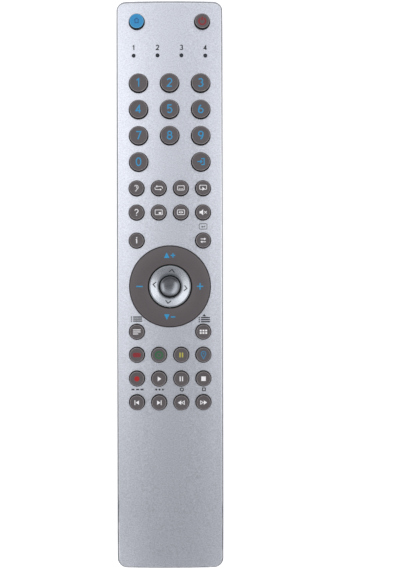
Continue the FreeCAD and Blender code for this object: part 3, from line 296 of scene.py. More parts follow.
# painted shade, darker in the foot of the dish and at the knob's rim; the places of these stops are shares of
# the radius above
dish_painted_shade = ((0.54, "#d6d6d6"), (0.7, "#ffffff"))
knob_painted_shade = ((0.33, "#ffffff"), (0.4, "#cecece"), (0.46, "#a6a6a6"))
for slot, name, dark, light, smooth, rough, painted_shade_stops in (
    ("silver_dish", "satin_metallised_dish", "#b2b6bc", "#b7bbc1", 0.26, 0.3, dish_painted_shade),
    ("grey_knob", "dark_chrome_turned_knob", "#8a8d93", "#92959b", 0.16, 0.2, knob_painted_shade),
):
    material, tree, place = new_material(name)
    centred = add_node(tree, "Mapping", {
        "Vector": place, "Location": (0, -ring_centre_y * mm, 0), "Scale": (1, 1, 0),
    })
    distance = add_node(tree, "VectorMath", {0: centred}, output="Value", operation="LENGTH")
    share = add_node(tree, "MapRange", {"Value": distance, "From Min": 0.0, "From Max": painted_shade_radius})
    # painted shade by distance from the knob's axis
    painted_shade = add_node(tree, "ValToRGB", {"Fac": share}, stops=painted_shade_stops)
    rings = add_node(tree, "TexWave", {
        "Vector": centred, "Scale": wave_period / ring_spacing, "Distortion": 0.3,
    }, output="Fac", wave_type="RINGS", rings_direction="Z")
    cloud = add_node(tree, "TexNoise", {"Vector": place, "Scale": 1 / cloud_size})
    metal = add_node(tree, "ValToRGB", {"Fac": cloud}, stops=((0.35, dark), (0.65, light)))
    metal_with_painted_shade = add_node(tree, "Mix", {0: 1.0, 6: metal, 7: painted_shade}, **colour_mix, blend_type="MULTIPLY")
    satin = add_node(tree, "MapRange", {"Value": rings, "To Min": smooth, "To Max": rough})
    turned = add_node(tree, "Bump", {"Height": rings, "Distance": 0.001 * mm, "Strength": 0.3})
    add_node(tree, "OutputMaterial", {"Surface": add_node(tree, "BsdfPrincipled", {
        "Base Color": metal_with_painted_shade, "Metallic": 1.0, "Roughness": satin, "Normal": turned,
    })})
    finishes[slot] = material
    print("finish:", material.name)

# %% [markdown]
# ## Rubber, board, chips and steel inside
#
# The mat is silicone, matte and slightly cloudy, and its contact pills are carbon-filled rubber.
# The board is glass-fibre laminate under green solder mask. Its weave could come from a picture of
# the cloth, but a brick texture with square bricks of 0.6 mm draws the same faint grid without one.
# Chips are black moulded epoxy. Contacts, springs and screws are nickel-plated steel, drawn or
# rolled, so their fine scratches run one way.

# %% Silicone and carbon rubber
clouding = 0.8 * mm
for slot, name, dark, light in (
    ("silicone", "grey_silicone_rubber", "#a3a8ae", "#b4b9bf"),
    ("carbon_rubber", "carbon_filled_rubber", "#141414", "#1f1f20"),
):
    material, tree, place = new_material(name)
    cloud = add_node(tree, "TexNoise", {"Vector": place, "Scale": 1 / clouding, "Detail": 3.0})
    rubber = add_node(tree, "ValToRGB", {"Fac": cloud}, stops=((0.35, dark), (0.65, light)))
    dull = add_node(tree, "MapRange", {"Value": cloud, "To Min": 0.68, "To Max": 0.82})
    skin_marks = add_node(tree, "Bump", {"Height": cloud, "Distance": 0.02 * mm, "Strength": 0.4})
    add_node(tree, "OutputMaterial", {"Surface": add_node(tree, "BsdfPrincipled", {
        "Base Color": rubber, "Roughness": dull, "Sheen Weight": 0.15, "IOR": 1.41, "Normal": skin_marks,
    })})
    finishes[slot] = material
    print("finish:", material.name)

# %% Board and chips
thread = 0.6 * mm
pit_width = 0.2 * mm
material, tree, place = new_material("green_solder_mask_on_glass_laminate")
bricks = {
    "Vector": place, "Color1": "#12522c", "Color2": "#155a31", "Mortar": "#0e4424",
    "Scale": 1 / thread, "Mortar Size": 0.06, "Brick Width": 1.0, "Row Height": 1.0,
}
weave = add_node(tree, "TexBrick", bricks, output="Color", offset=0.0)
groove = add_node(tree, "TexBrick", bricks, output="Fac", offset=0.0)
gloss = add_node(tree, "MapRange", {"Value": groove, "To Min": 0.24, "To Max": 0.36})
cloth = add_node(tree, "Bump", {"Height": groove, "Distance": 0.01 * mm, "Strength": 0.4}, invert=True)
add_node(tree, "OutputMaterial", {"Surface": add_node(tree, "BsdfPrincipled", {
    "Base Color": weave, "Roughness": gloss, "IOR": 1.55, "Normal": cloth,
})})
finishes["circuit_board"] = material

material, tree, place = new_material("black_moulded_epoxy")
pits = add_node(tree, "TexNoise", {"Vector": place, "Scale": 1 / pit_width, "Detail": 3.0})
epoxy = add_node(tree, "ValToRGB", {"Fac": pits}, stops=((0.35, "#131416"), (0.65, "#1d1e20")))
dull = add_node(tree, "MapRange", {"Value": pits, "To Min": 0.5, "To Max": 0.65})
pitted = add_node(tree, "Bump", {"Height": pits, "Distance": 0.01 * mm, "Strength": 0.5})
add_node(tree, "OutputMaterial", {"Surface": add_node(tree, "BsdfPrincipled", {
    "Base Color": epoxy, "Roughness": dull, "IOR": 1.55, "Normal": pitted,
})})
finishes["black_switch"] = material
print("finishes: board and epoxy")

# %% Nickel-plated steel
scratch_width = 0.4 * mm
for slot, name, dark, light, stretch in (
    ("steel", "nickel_plated_steel", "#b9b7b0", "#cfcdc7", (1, 1, 6)),
    ("cell_jacket", "nickel_plated_cell_can", "#bdbcb8", "#d2d1ce", (1, 0.15, 1)),
):
    material, tree, place = new_material(name)
    drawn = add_node(tree, "Mapping", {"Vector": place, "Scale": stretch})
    scratches = add_node(tree, "TexNoise", {
        "Vector": drawn, "Scale": 1 / scratch_width, "Detail": 4.0, "Roughness": 0.7,
    })
    nickel = add_node(tree, "ValToRGB", {"Fac": scratches}, stops=((0.35, dark), (0.65, light)))
    shine = add_node(tree, "MapRange", {"Value": scratches, "To Min": 0.2, "To Max": 0.4})
    fine = add_node(tree, "Bump", {"Height": scratches, "Distance": 0.004 * mm, "Strength": 0.4})
    add_node(tree, "OutputMaterial", {"Surface": add_node(tree, "BsdfPrincipled", {
        "Base Color": nickel, "Metallic": 1.0, "Roughness": shine, "Normal": fine,
    })})
    finishes[slot] = material
    print("finish:", material.name)

# %% [markdown]
# ## Giving each loaded part its finish
#
# The record says which finish each part has. Each part could be dressed in a line of its own, but
# one loop over the record does it and forgets none. The ring's grey is a finish of its own, because
# its edge carries a much weaker painted shade and painted highlight than the keys' edges. The loaded
# meshes stay exactly as they are: only the material in their slots changes.

# %% Dress the loaded parts
slot_of = {entry["node"]: entry["material_slot"] for entry in frame["record"]["subparts"]}
finish_of = {**slot_of, "rocker_ring": "ring"}
for name, part in frame["nodes"].items():
    part.data.materials.clear()
    part.data.materials.append(finishes[finish_of[name]])
print("dressed", len(finish_of), "parts with", len(finishes), "finishes")

# %% [markdown]
# ## Inks
#
# The legends are pad-printed: a film of ink about 0.02 mm thick, slightly uneven and a little
# glossier than the key. It could be painted in the key's own material, but a thin piece of its own
# keeps a sharp edge from any distance. Blue is for the numbers and the ring, off-white for the
# small keys and slate for the dish and the face. The coloured keys have inks of their own colours.

# %% Inks
ink_patch = 0.35 * mm
inks = {}
for name, dark, light in (
    ("blue", "#1b81b1", "#268dbd"), ("white", "#dddbdd", "#e9e7e9"), ("red", "#78141c", "#851b23"),
    ("bright_red", "#980104", "#a60407"), ("green", "#1f5534", "#28623d"), ("yellow", "#a59d3c", "#b3ab48"),
    ("cyan", "#236f98", "#2c7ba5"), ("deep_blue", "#063c72", "#0a447e"), ("slate", "#1a1c22", "#24272e"),
):
    material, tree, place = new_material(f"pad_print_ink_{name}")
    film = add_node(tree, "TexNoise", {"Vector": place, "Scale": 1 / ink_patch, "Detail": 2.0})
    ink = add_node(tree, "ValToRGB", {"Fac": film}, stops=((0.35, dark), (0.65, light)))
    gloss = add_node(tree, "MapRange", {"Value": film, "To Min": 0.35, "To Max": 0.5})
    lay = add_node(tree, "Bump", {"Height": film, "Distance": 0.003 * mm, "Strength": 0.3})
    add_node(tree, "OutputMaterial", {"Surface": add_node(tree, "BsdfPrincipled", {
        "Base Color": ink, "Roughness": gloss, "Normal": lay,
    })})
    inks[name] = material
print("inks:", ", ".join(inks))

# %% [markdown]
# ## Making print
#
# A legend could be a text object turned into a mesh, but most of these are signs, and flat text
# would have to be bent onto each key. Here a printed line is a path with a small rectangle standing
# across it at each of its points, joined to a closed bar. A filled mark is a function of two
# parameters: how far out from its middle, and how far round its outline. Both are worked out as
# whole arrays and then laid on a curved surface by adding that surface's height to every corner.
# Long runs get points in between, because a straight bar would sink into a curved surface.

# %% Points along a printed line
ink_height = 0.02
ink_depth = 0.05
print_step = 0.5


def fine_path(path, loop):
    """The path with points every print_step along its runs, its own corners kept."""
    path = np.asarray(path, float)
    if loop:
        path = np.vstack([path, path[:1]])
    length = np.concatenate([[0], np.cumsum(np.linalg.norm(np.diff(path, axis=0), axis=1))])
    extra = np.arange(print_step, length[-1], print_step)
    near = np.abs(extra[:, None] - length[None, :]).min(axis=1) < print_step / 3
    stations = np.sort(np.concatenate([length, extra[~near]]))
    points = np.stack([np.interp(stations, length, path[:, i]) for i in (0, 1)], axis=1)
    return points[:-1] if loop else points


print("a long line gets a point every", print_step, "mm")

# %% Faces over a grid
def skin(grid, loop):
    """Quads over a grid (stations, corners, 3): corners close round, stations close if they loop, else
    the first and last station are capped where they have four corners."""
    stations, corners = grid.shape[:2]
    here = np.arange(stations if loop else stations - 1)[:, None] * corners
    ahead = (here + corners) % (stations * corners)
    side = np.arange(corners)[None, :]
    beside = (side + 1) % corners
    quads = np.stack([here + side, here + beside, ahead + beside, ahead + side], axis=-1).reshape(-1, 4)
    if not loop and corners == 4:
        caps = np.array([[3, 2, 1, 0], [0, 1, 2, 3]]) + np.array([[0], [(stations - 1) * corners]])
        quads = np.vstack([quads, caps])
    return grid.reshape(-1, 3), quads


print("faces of a bar with three stations:", len(skin(np.zeros((3, 4, 3)), loop=False)[1]))

# %% Printed lines
def strip(path, width, surface, loop=False):
    """A bar along a path. Its two sides are the path plus and minus half the width times its normal, made
    longer at a corner by one over the cosine of half the turn, at most twice; its height is the
    surface's."""
    path = fine_path(path, loop)
    if loop:
        before, after = np.roll(path, 1, axis=0), np.roll(path, -1, axis=0)
    else:
        before = np.vstack([2 * path[0] - path[1], path[:-1]])
        after = np.vstack([path[1:], 2 * path[-1] - path[-2]])
    into, out = path - before, after - path
    into /= np.linalg.norm(into, axis=1, keepdims=True)
    out /= np.linalg.norm(out, axis=1, keepdims=True)
    along = into + out
    along /= np.linalg.norm(along, axis=1, keepdims=True)
    half_turn = np.clip(np.sum(along * out, axis=1), 0.5, 1.0)[:, None]
    across = np.stack([-along[:, 1], along[:, 0]], axis=1) * width / 2 / half_turn
    corners = np.stack([path + across, path - across, path - across, path + across], axis=1)
    lift = np.array([ink_height, ink_height, -ink_depth, -ink_depth])
    height = surface(corners[..., 0], corners[..., 1]) + lift
    return skin(np.dstack([corners, height[..., None]]), loop)


print("a printed line stands", ink_height, "mm over the surface")

# %% Filled marks
def mark(outline, surface):
    """A filled mark: middle + s (outline - middle), with s from 0 to 1 under the surface and back to 0
    over it."""
    outline = fine_path(outline, loop=True)
    middle = outline.mean(axis=0)
    share = np.array([0, 0.5, 1, 1, 0.75, 0.5, 0.25, 0])[:, None, None]
    lift = np.array([-ink_depth] * 3 + [ink_height] * 5)[:, None]
    points = middle + share * (outline - middle)
    height = surface(points[..., 0], points[..., 1]) + lift
    return skin(np.dstack([points, height[..., None]]), loop=False)


print("a filled mark goes", ink_depth, "mm under the surface")

# %% [markdown]
# The strips and marks of one legend could stay separate, but they are one film and move as one, so
# they become one mesh. A mark's middle is one point many times over, so doubled points are merged.
# A path may run either way round, so the faces are then turned outwards, which is safe because
# every strip and mark is closed.

# %% One mesh from many strips and marks
def make_piece(name, parts, material, body, offset=(0, 0)):
    """Joins (points, quads) parts in millimetres to one object in metres that rides on a body."""
    starts = np.cumsum([0] + [len(points) for points, quads in parts])
    quads = np.vstack([quads + start for (points, quads), start in zip(parts, starts)])
    points = (np.vstack([points for points, quads in parts]) + np.array([*offset, 0.0])) * mm
    mesh = bpy.data.meshes.new(name)
    mesh.from_pydata(points.tolist(), [], quads.tolist())
    tidy = bmesh.new()
    tidy.from_mesh(mesh)
    bmesh.ops.remove_doubles(tidy, verts=tidy.verts, dist=1e-8)
    bmesh.ops.recalc_face_normals(tidy, faces=tidy.faces)
    tidy.to_mesh(mesh)
    tidy.free()
    mesh.materials.append(material)
    piece = bpy.data.objects.new(name, mesh)
    bpy.context.scene.collection.objects.link(piece)
    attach(piece, body)
    return piece


print("pieces are joined in millimetres and stored in metres")

# %% [markdown]
# ## The shapes of the legends
#
# Each legend could be traced point by point. Arcs and boxes are shorter to write and easier to
# change, and five outlines serve nearly every legend: an arc, an oval, a box with round corners, a
# plain block and a triangle. Numbers are drawn with a pen of one width, so each is one or two paths
# in a box about 2.2 by 3.5 mm. The six turned upside down is the nine.

# %% Outlines
def arc(x, y, across, along, first, last, count=28):
    """Points of an ellipse between two angles: centre plus (across cos a, along sin a)."""
    angle = np.radians(np.linspace(first, last, count))
    return np.column_stack([x + across * np.cos(angle), y + along * np.sin(angle)])


def oval(x, y, across, along, count=32):
    """A whole ellipse, its first point not repeated."""
    return arc(x, y, across, along, 0, 360, count + 1)[:-1]


def rounded_box(x, y, half_width, half_height, radius):
    """Four quarter arcs, one at each corner of a box."""
    corners = ((1, 1, 0), (-1, 1, 90), (-1, -1, 180), (1, -1, 270))
    return np.vstack([
        arc(x + a * (half_width - radius), y + b * (half_height - radius), radius, radius, turn, turn + 90, 7)
        for a, b, turn in corners
    ])


def block(x, y, half_width, half_height):
    """A plain rectangle."""
    return np.array([(-1, -1), (1, -1), (1, 1), (-1, 1)]) * (half_width, half_height) + (x, y)


def pointer(x, y, size, way):
    """A triangle that points left, -1, or right, 1."""
    return np.array([(-0.5 * way, 0.75), (-0.5 * way, -0.75), (0.62 * way, 0)]) * size + (x, y)


print("outlines: arc, oval, rounded box, block and pointer")

# %% Numbers
six_arc = arc(0.5, -0.6, 1.42, 2.25, 176, 104)
numbers = {
    "0": {"closed": [oval(0, 0, 0.95, 1.6)]},
    "1": {"open": [[(-0.75, 1.0), (0.15, 1.62), (0.15, -1.65)]]},
    "2": {"open": [np.vstack([arc(0, 0.72, 0.92, 0.9, 165, -32), [(-0.95, -1.6), (1.0, -1.6)]])]},
    "3": {"open": [arc(-0.08, 0.82, 0.84, 0.78, 150, -85), arc(-0.08, -0.76, 0.98, 0.85, 88, -150)]},
    "4": {"open": [[(0.42, -1.65), (0.42, 1.55), (-1.0, -0.7), (1.05, -0.7)]]},
    "5": {"open": [np.vstack([
        [(0.85, 1.6), (-0.68, 1.6), (-0.8, 0.1)], arc(-0.05, -0.58, 0.97, 1.03, 130, -148),
    ])]},
    "6": {"closed": [oval(0, -0.68, 0.92, 0.95)], "open": [six_arc]},
    "7": {"open": [[(-0.95, 1.6), (0.98, 1.6), (-0.25, -1.65)]]},
    "8": {"closed": [oval(0, 0.82, 0.78, 0.78), oval(0, -0.76, 0.95, 0.86)]},
    "9": {"closed": [oval(0, 0.68, 0.92, 0.95)], "open": [-six_arc]},
}
print("numbers:", " ".join(numbers))

# %% [markdown]
# The small keys carry common signs: play, pause, stop, record, mute, a frame for the picture, a
# question mark. Each sign has open lines, closed lines and filled marks, in millimetres from the
# middle of its key. Where such a key often prints a word, this one has a plain sign instead.

# %% Signs of the top keys and the first small row
signs = {
    "power_key": {
        "ink": "red", "pen": 0.7,
        "open": [arc(0, -0.1, 1.4, 1.4, 122, 418, 40), [(0, 1.75), (0, 0.2)]],
    },
    "blue_key": {
        "ink": "deep_blue", "pen": 0.32,
        "open": [
            [(-1.0, 0.35), (0, 1.2), (1.0, 0.35)],
            [(-0.65, 0.3), (-0.65, -0.75), (0.65, -0.75), (0.65, 0.3)],
        ],
    },
    "source_key": {
        "ink": "blue", "pen": 0.42,
        "open": [
            [(0.1, 1.25), (1.35, 1.25), (1.35, -1.25), (0.1, -1.25)],
            [(-1.5, 0), (0.3, 0)],
            [(-0.2, 0.62), (0.45, 0), (-0.2, -0.62)],
        ],
    },
    "language_key": {
        "open": [
            arc(-0.1, 0.35, 0.85, 0.85, 150, -60),
            [(0.35, -0.4), (0.0, -0.75), (-0.15, -1.15), (-0.6, -1.2)],
            arc(-0.1, 0.3, 0.3, 0.35, 120, -80, 14),
        ],
    },
    "repeat_key": {
        "open": [
            np.vstack([[(-0.8, 0.68)], arc(1.0, 0.13, 0.55, 0.55, 90, 0, 8), [(1.55, -0.25)]]),
            np.vstack([[(0.8, -0.68)], arc(-1.0, -0.13, 0.55, 0.55, 270, 180, 8), [(-1.55, 0.25)]]),
        ],
        "filled": [pointer(-0.9, 0.68, 0.62, -1), pointer(0.9, -0.68, 0.62, 1)],
    },
    "subtitle_key": {
        "closed": [rounded_box(0, 0, 1.4, 0.9, 0.3)],
        "filled": [block(-0.5, -0.38, 0.32, 0.13), block(0.5, -0.38, 0.32, 0.13)],
    },
    "select_key": {
        "closed": [rounded_box(0, 0.3, 1.45, 0.85, 0.3)],
        "filled": [[(-0.3, 0.55), (-0.3, -1.15), (0.35, -0.62), (0.95, -0.62)]],
    },
}
print("signs:", len(signs))

# %% Signs of the next small rows and below the ring
grid_places = [(x, y) for x in (-1.15, 0.0, 1.15) for y in (-0.52, 0.52)]
signs.update({
    "help_key": {
        "pen": 0.34,
        "open": [np.vstack([arc(0, 0.62, 0.68, 0.65, 168, -50), [(0.03, -0.25), (0.0, -0.6)]])],
        "filled": [oval(0, -1.2, 0.22, 0.22, 14)],
    },
    "picture_in_picture_key": {
        "closed": [rounded_box(0, 0, 1.5, 1.0, 0.2)],
        "filled": [block(0.55, -0.3, 0.55, 0.38)],
    },
    "format_key": {
        "closed": [rounded_box(0, 0, 1.5, 1.0, 0.3)],
        "filled": [pointer(-0.55, 0, 0.72, -1), pointer(0.55, 0, 0.72, 1)],
    },
    "mute_key": {
        "open": [[(0.5, 0.5), (1.5, -0.5)], [(0.5, -0.5), (1.5, 0.5)]],
        "filled": [[(-1.55, 0.5), (-1.55, -0.5), (-0.9, -0.5), (0.0, -1.3), (0.0, 1.3), (-0.9, 0.5)]],
    },
    "info_key": {
        "pen": 0.45,
        "open": [[(0.05, 0.5), (0.05, -1.2)], [(-0.35, 0.4), (0.1, 0.4)]],
        "filled": [oval(0.05, 1.15, 0.28, 0.28, 14)],
    },
    "swap_key": {
        "pen": 0.32,
        "open": [[(-1.1, 0.6), (0.5, 0.6)], [(1.1, -0.6), (-0.5, -0.6)]],
        "filled": [pointer(0.75, 0.6, 0.75, 1), pointer(-0.75, -0.6, 0.75, -1)],
    },
    "text_key": {
        "pen": 0.36,
        "open": [[(-1.6, 0.85), (1.6, 0.85)], [(-1.6, 0), (1.6, 0)], [(-1.6, -0.85), (0.6, -0.85)]],
    },
    "guide_key": {"filled": [block(x, y, 0.4, 0.36) for x, y in grid_places]},
})
print("signs:", len(signs))

# %% Signs of the coloured keys and of playing
signs.update({
    "red_key": {"ink": "red", "filled": [rounded_box(0, 0, 1.75, 0.95, 0.9)]},
    "green_key": {
        "ink": "green", "pen": 0.7,
        "closed": [oval(0, 0, 1.45, 1.35)],
        "filled": [oval(0, 0, 0.5, 0.45, 18)],
    },
    "yellow_key": {"ink": "yellow", "filled": [block(-0.52, 0, 0.3, 1.0), block(0.52, 0, 0.3, 1.0)]},
    "cyan_key": {
        "ink": "cyan", "pen": 0.36,
        "closed": [np.vstack([arc(0, 0.5, 0.98, 0.98, -35, 215, 30), [(0, -1.6)]])],
        "filled": [oval(0, 0.5, 0.34, 0.34, 14)],
    },
    "record_key": {"ink": "bright_red", "filled": [oval(0, 0, 1.1, 1.1)]},
    "play_key": {"filled": [pointer(0.1, 0, 1.35, 1)]},
    "pause_key": {"filled": [block(-0.5, 0, 0.22, 1.0), block(0.5, 0, 0.22, 1.0)]},
    "stop_key": {"filled": [block(0, 0, 0.95, 0.95)]},
    "previous_key": {"filled": [block(-0.85, 0, 0.18, 1.0), pointer(0.25, 0, 1.25, -1)]},
    "next_key": {"filled": [block(0.85, 0, 0.18, 1.0), pointer(-0.25, 0, 1.25, 1)]},
    "rewind_key": {"filled": [pointer(-0.7, 0, 1.25, -1)], "closed": [pointer(0.75, 0, 1.0, -1)]},
    "forward_key": {"filled": [pointer(0.7, 0, 1.25, 1)], "closed": [pointer(-0.75, 0, 1.0, 1)]},
})
print("signs:", len(signs))

# %% Draw a sign
sign_pen = 0.26


def draw(sign, surface, pen=sign_pen, scale=1.0):
    """The strips of a sign's open and closed lines, and its filled marks."""
    pen = sign.get("pen", pen)
    parts = [strip(np.asarray(path) * scale, pen, surface) for path in sign.get("open", ())]
    parts += [strip(np.asarray(path) * scale, pen, surface, loop=True) for path in sign.get("closed", ())]
    parts += [mark(np.asarray(outline) * scale, surface) for outline in sign.get("filled", ())]
    return parts


print("a sign's pen is", sign_pen, "mm wide unless it names its own")

# %% [markdown]
# ## Printing the keys
#
# Each key's top is a shallow bowl, part of a large sphere. Its height over the lowest point is the
# squared distance from the middle over twice the sphere's radius. A Shrinkwrap modifier could press
# the print onto the key, but the formula does the same and leaves no modifier to apply. The print
# rides on the key's own body, so that it goes down with the key.

# %% Print every key
def key_top(node):
    """The centre of a key, and the height of its dished top as a function of place."""
    low, high = (np.array(corner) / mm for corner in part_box(node))
    wide = node.startswith("number") or node == "source_key"
    rim = (number_key_radius if wide else small_key_radius) - key_rounding
    sphere = (rim ** 2 + key_dish_depth ** 2) / (2 * key_dish_depth)
    lowest = high[2] - key_dish_depth
    return (low + high)[:2] / 2, lambda x, y: lowest + (x ** 2 + y ** 2) / (2 * sphere)


number_pen = 0.5
key_names = [name for name in slot_of if name.endswith("_key")]
for name in key_names:
    centre, surface = key_top(name)
    if name.startswith("number"):
        parts, ink = draw(numbers[name.split("_")[1]], surface, number_pen), "blue"
    else:
        parts, ink = draw(signs[name], surface), signs[name].get("ink", "white")
    make_piece(f"{name}_print", parts, inks[ink], name, centre)
print("printed", len(key_names), "keys")

# %% [markdown]
# ## Printing the ring
#
# The ring turns the sound up and down at its sides and changes programme at its top and bottom. Its
# marks could be raised plastic, but in the photograph they look as flat as the keys' print, so they
# are printed the same way. In section the ring's top is an arc, highest half way between its two
# edges.

# %% Ring marks
def ring_surface(x, y):
    """Height of the ring: its highest line, less the edge drop times the squared share of the way to an
    edge."""
    middle, half = (ring_inner + ring_outer) / 2, (ring_outer - ring_inner) / 2
    return ring_top - ring_edge_drop * ((np.hypot(x, y - ring_centre_y) - middle) / half) ** 2


def bars(x, y, half, upright):
    """A minus, or a plus if it has an upright."""
    lines = [[(x - half, y), (x + half, y)]]
    return lines + [[(x, y - half), (x, y + half)]] if upright else lines


minus_x = -12.8
plus_x = 12.6
up_y = ring_centre_y + 13.0
down_y = ring_centre_y - 12.8
triangle_x = -1.35
sign_x = 1.25
long_half = 1.35
short_half = 0.95
ring_pen = 0.5
lines = bars(minus_x, ring_centre_y, long_half, False) + bars(plus_x, ring_centre_y, long_half, True)
lines += bars(sign_x, up_y, short_half, True) + bars(sign_x, down_y, short_half, False)
parts = [strip(line, ring_pen, ring_surface) for line in lines]
for y, way in ((up_y, 1), (down_y, -1)):
    triangle = np.array([(-1.15, -1.1 * way), (1.15, -1.1 * way), (0, 1.25 * way)]) + (triangle_x, y)
    parts.append(mark(triangle, ring_surface))
make_piece("ring_print", parts, inks["blue"], "rocker_ring")
print("ring marks:", len(parts))

# %% [markdown]
# The dish round the knob has four thin arrows, one for each way the knob tilts. Each could be drawn
# in its place, but one arrow turned four times keeps them alike. They stand a few degrees off the
# square, as they often do on a dish with no key to line it up. The dish slopes down towards the
# knob.

# %% Dish arrows
def dish_surface(x, y):
    """Height of the dish: a straight slope from its floor at the knob to its rim."""
    share = (np.hypot(x, y - ring_centre_y) - bowl_inner) / (bowl_outer - bowl_inner)
    return bowl_floor + (bowl_rim - bowl_floor) * share


arrow = np.array([(-1.15, 6.0), (0, 7.15), (1.15, 6.0)])
arrow_pen = 0.42
degrees_off_square = 7
parts = []
for angle in np.radians(np.arange(4) * 90 + degrees_off_square):
    turn = np.array([[np.cos(angle), -np.sin(angle)], [np.sin(angle), np.cos(angle)]])
    parts.append(strip(arrow @ turn + (0, ring_centre_y), arrow_pen, dish_surface))
make_piece("dish_arrows", parts, inks["slate"], "root")
print("arrows:", len(parts))

# %% [markdown]
# ## Printing the face
#
# The face is part of a wide cylinder, 1.1 mm higher in the middle than at its sides, and it bends
# down a little more towards the tail. Its print is slate grey: a number over each small lamp, a
# sign over some of the keys. It could be drawn in the lacquer's material, but laid on as thin
# pieces it stays sharp, and the lacquer stays a plain finish.

# %% Face print
def face_surface(x, y):
    """Height of the face: its top less the crown's circle across and the tail's circle along."""
    across = ((case_width / 2) ** 2 + crown_rise ** 2) / (2 * crown_rise)
    along = (tail_fall_length ** 2 + tail_fall ** 2) / (2 * tail_fall)
    past = np.maximum(0, tail_fall_start - y)
    return face_top - (across - np.sqrt(across ** 2 - x ** 2)) - (along - np.sqrt(along ** 2 - past ** 2))


lamp_columns = (-15.1, -5.03, 5.03, 15.1)
lamp_number_y = 99.8
last_row_y = -44.3
list_rows = [block(x, y, half, 0.26) for y in (-0.85, 0, 0.85) for x, half in ((-2.1, 0.26), (0.5, 1.9))]
list_top = np.array([(-0.8, 1.4), (0.8, 1.4), (0, 2.4)])
return_box = {
    "closed": [rounded_box(0, 0, 1.65, 1.15, 0.45)],
    "open": [[(0.75, 0.4), (0.75, -0.15), (-0.35, -0.15)]],
    "filled": [pointer(-0.5, -0.15, 0.6, -1)],
}
dashes = {"filled": [block(x, 0, 0.65, 0.3) for x in (-1.9, 0.0, 1.9)]}
dots = {"filled": [oval(x, 0, 0.42, 0.42, 16) for x in (-1.4, 0.0, 1.4)]}
circle = {"closed": [oval(0, 0, 0.65, 0.65, 24)]}
square = {"closed": [rounded_box(0, 0, 0.6, 0.6, 0.1)]}
# a row holds a print's name, its sign, the pen's width, the scale and the place on the face
face_signs = [
    (f"lamp_{i + 1}_number", numbers[str(i + 1)], 0.45, 0.58, x, lamp_number_y)
    for i, x in enumerate(lamp_columns)
]
face_signs += [
    ("list_sign", {"filled": list_rows}, 0.3, 1.0, -14.2, -14.6),
    ("first_list_sign", {"filled": list_rows + [list_top]}, 0.3, 1.0, 14.4, -14.9),
    ("return_sign", return_box, 0.24, 1.0, 14.0, 24.4),
    ("dashes_sign", dashes, 0.3, 1.0, -13.8, last_row_y),
    ("dots_sign", dots, 0.3, 1.0, -4.5, last_row_y),
    ("circle_sign", circle, 0.4, 1.0, 4.9, last_row_y),
    ("square_sign", square, 0.4, 1.0, 14.2, last_row_y),
]
for name, sign, pen, scale, x, y in face_signs:
    def over(u, v, x=x, y=y):
        return face_surface(u + x, v + y)
    make_piece(name, draw(sign, over, pen, scale), inks["slate"], "root", (x, y))
print("face prints:", len(face_signs))

# %% [markdown]
# ## The cells under the door
#
# An alkaline cell is a nickel-plated can in a shrunk plastic jacket, which rolls a little over both
# shoulders. A bevelled cylinder would do from afar. A turned surface also has the rolled ends: a
# profile of radius against length, swept round the cell's axis and closed by its own inner wall. A
# copper-coloured band marks the plus end.

# %% Jacket films
wrinkle = 2 * mm
films = {}
for name, dark, light in (
    ("cell_film_dark", "#1d3a30", "#26473b"),
    ("cell_film_copper", "#9a6a3c", "#ab7947"),
):
    material, tree, place = new_material(f"{name}_shrunk_pvc")
    wrap = add_node(tree, "TexNoise", {"Vector": place, "Scale": 1 / wrinkle, "Detail": 2.0})
    film = add_node(tree, "ValToRGB", {"Fac": wrap}, stops=((0.35, dark), (0.65, light)))
    gloss = add_node(tree, "MapRange", {"Value": wrap, "To Min": 0.25, "To Max": 0.35})
    pulled = add_node(tree, "Bump", {"Height": wrap, "Distance": 0.01 * mm, "Strength": 0.2})
    add_node(tree, "OutputMaterial", {"Surface": add_node(tree, "BsdfPrincipled", {
        "Base Color": film, "Roughness": gloss, "Coat Weight": 0.5, "Normal": pulled,
    })})
    films[name] = material
print("films:", ", ".join(films))

# %% Cell jackets
def turned(x, z, start, way, profile, count=72):
    """A turned surface: axis + radius (cos a, sin a) across and start + way times length along."""
    angle = np.linspace(0, 2 * np.pi, count, endpoint=False)[:, None]
    length, radius = np.array(profile).T
    along = np.broadcast_to(start + way * length, (count, len(length)))
    return skin(np.dstack([x + radius * np.cos(angle), along, z + radius * np.sin(angle)]), loop=True)


low, high = (np.array(corner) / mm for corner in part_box("batteries"))
cell_radius = 5.25
cell_length = 43.7
band_start = 33.0
outer = cell_radius + 0.06
inner = cell_radius + 0.01
shoulder = 0.3
shoulder_drop = 0.35
overlap = 0.02
minus_opening = 4.6
plus_opening = 4.2
# a profile's points are a length from the minus end and a radius
dark_profile = [
    (-overlap, minus_opening), (-overlap, outer - shoulder_drop), (shoulder, outer), (band_start, outer),
    (band_start, inner), (shoulder, inner), (overlap, minus_opening),
]
band_profile = [
    (band_start, inner), (band_start, outer), (cell_length - shoulder, outer),
    (cell_length + overlap, outer - shoulder_drop), (cell_length + overlap, plus_opening),
    (cell_length, plus_opening), (cell_length - shoulder, inner),
]
for side, name, start, way in ((-1, "left", low[1], 1), (1, "right", high[1], -1)):
    for film, profile in (("cell_film_dark", dark_profile), ("cell_film_copper", band_profile)):
        tube = turned(side * (high[0] - cell_radius), (low[2] + high[2]) / 2, start, way, profile)
        make_piece(f"{name}_{film}", [tube], films[film], "root")
print("cells wrapped, radius", cell_radius, "mm")

# %% [markdown]
# ## Floor
#
# The photograph's ground stays white even beside the case, as on a light table: a sheet of white
# acrylic that glows a little from below. A lamp under a clear sheet could do this, but a faint glow
# in the sheet's own material is simpler and wholly even. The floor lies a hair under the back,
# because two surfaces in one plane would flicker.

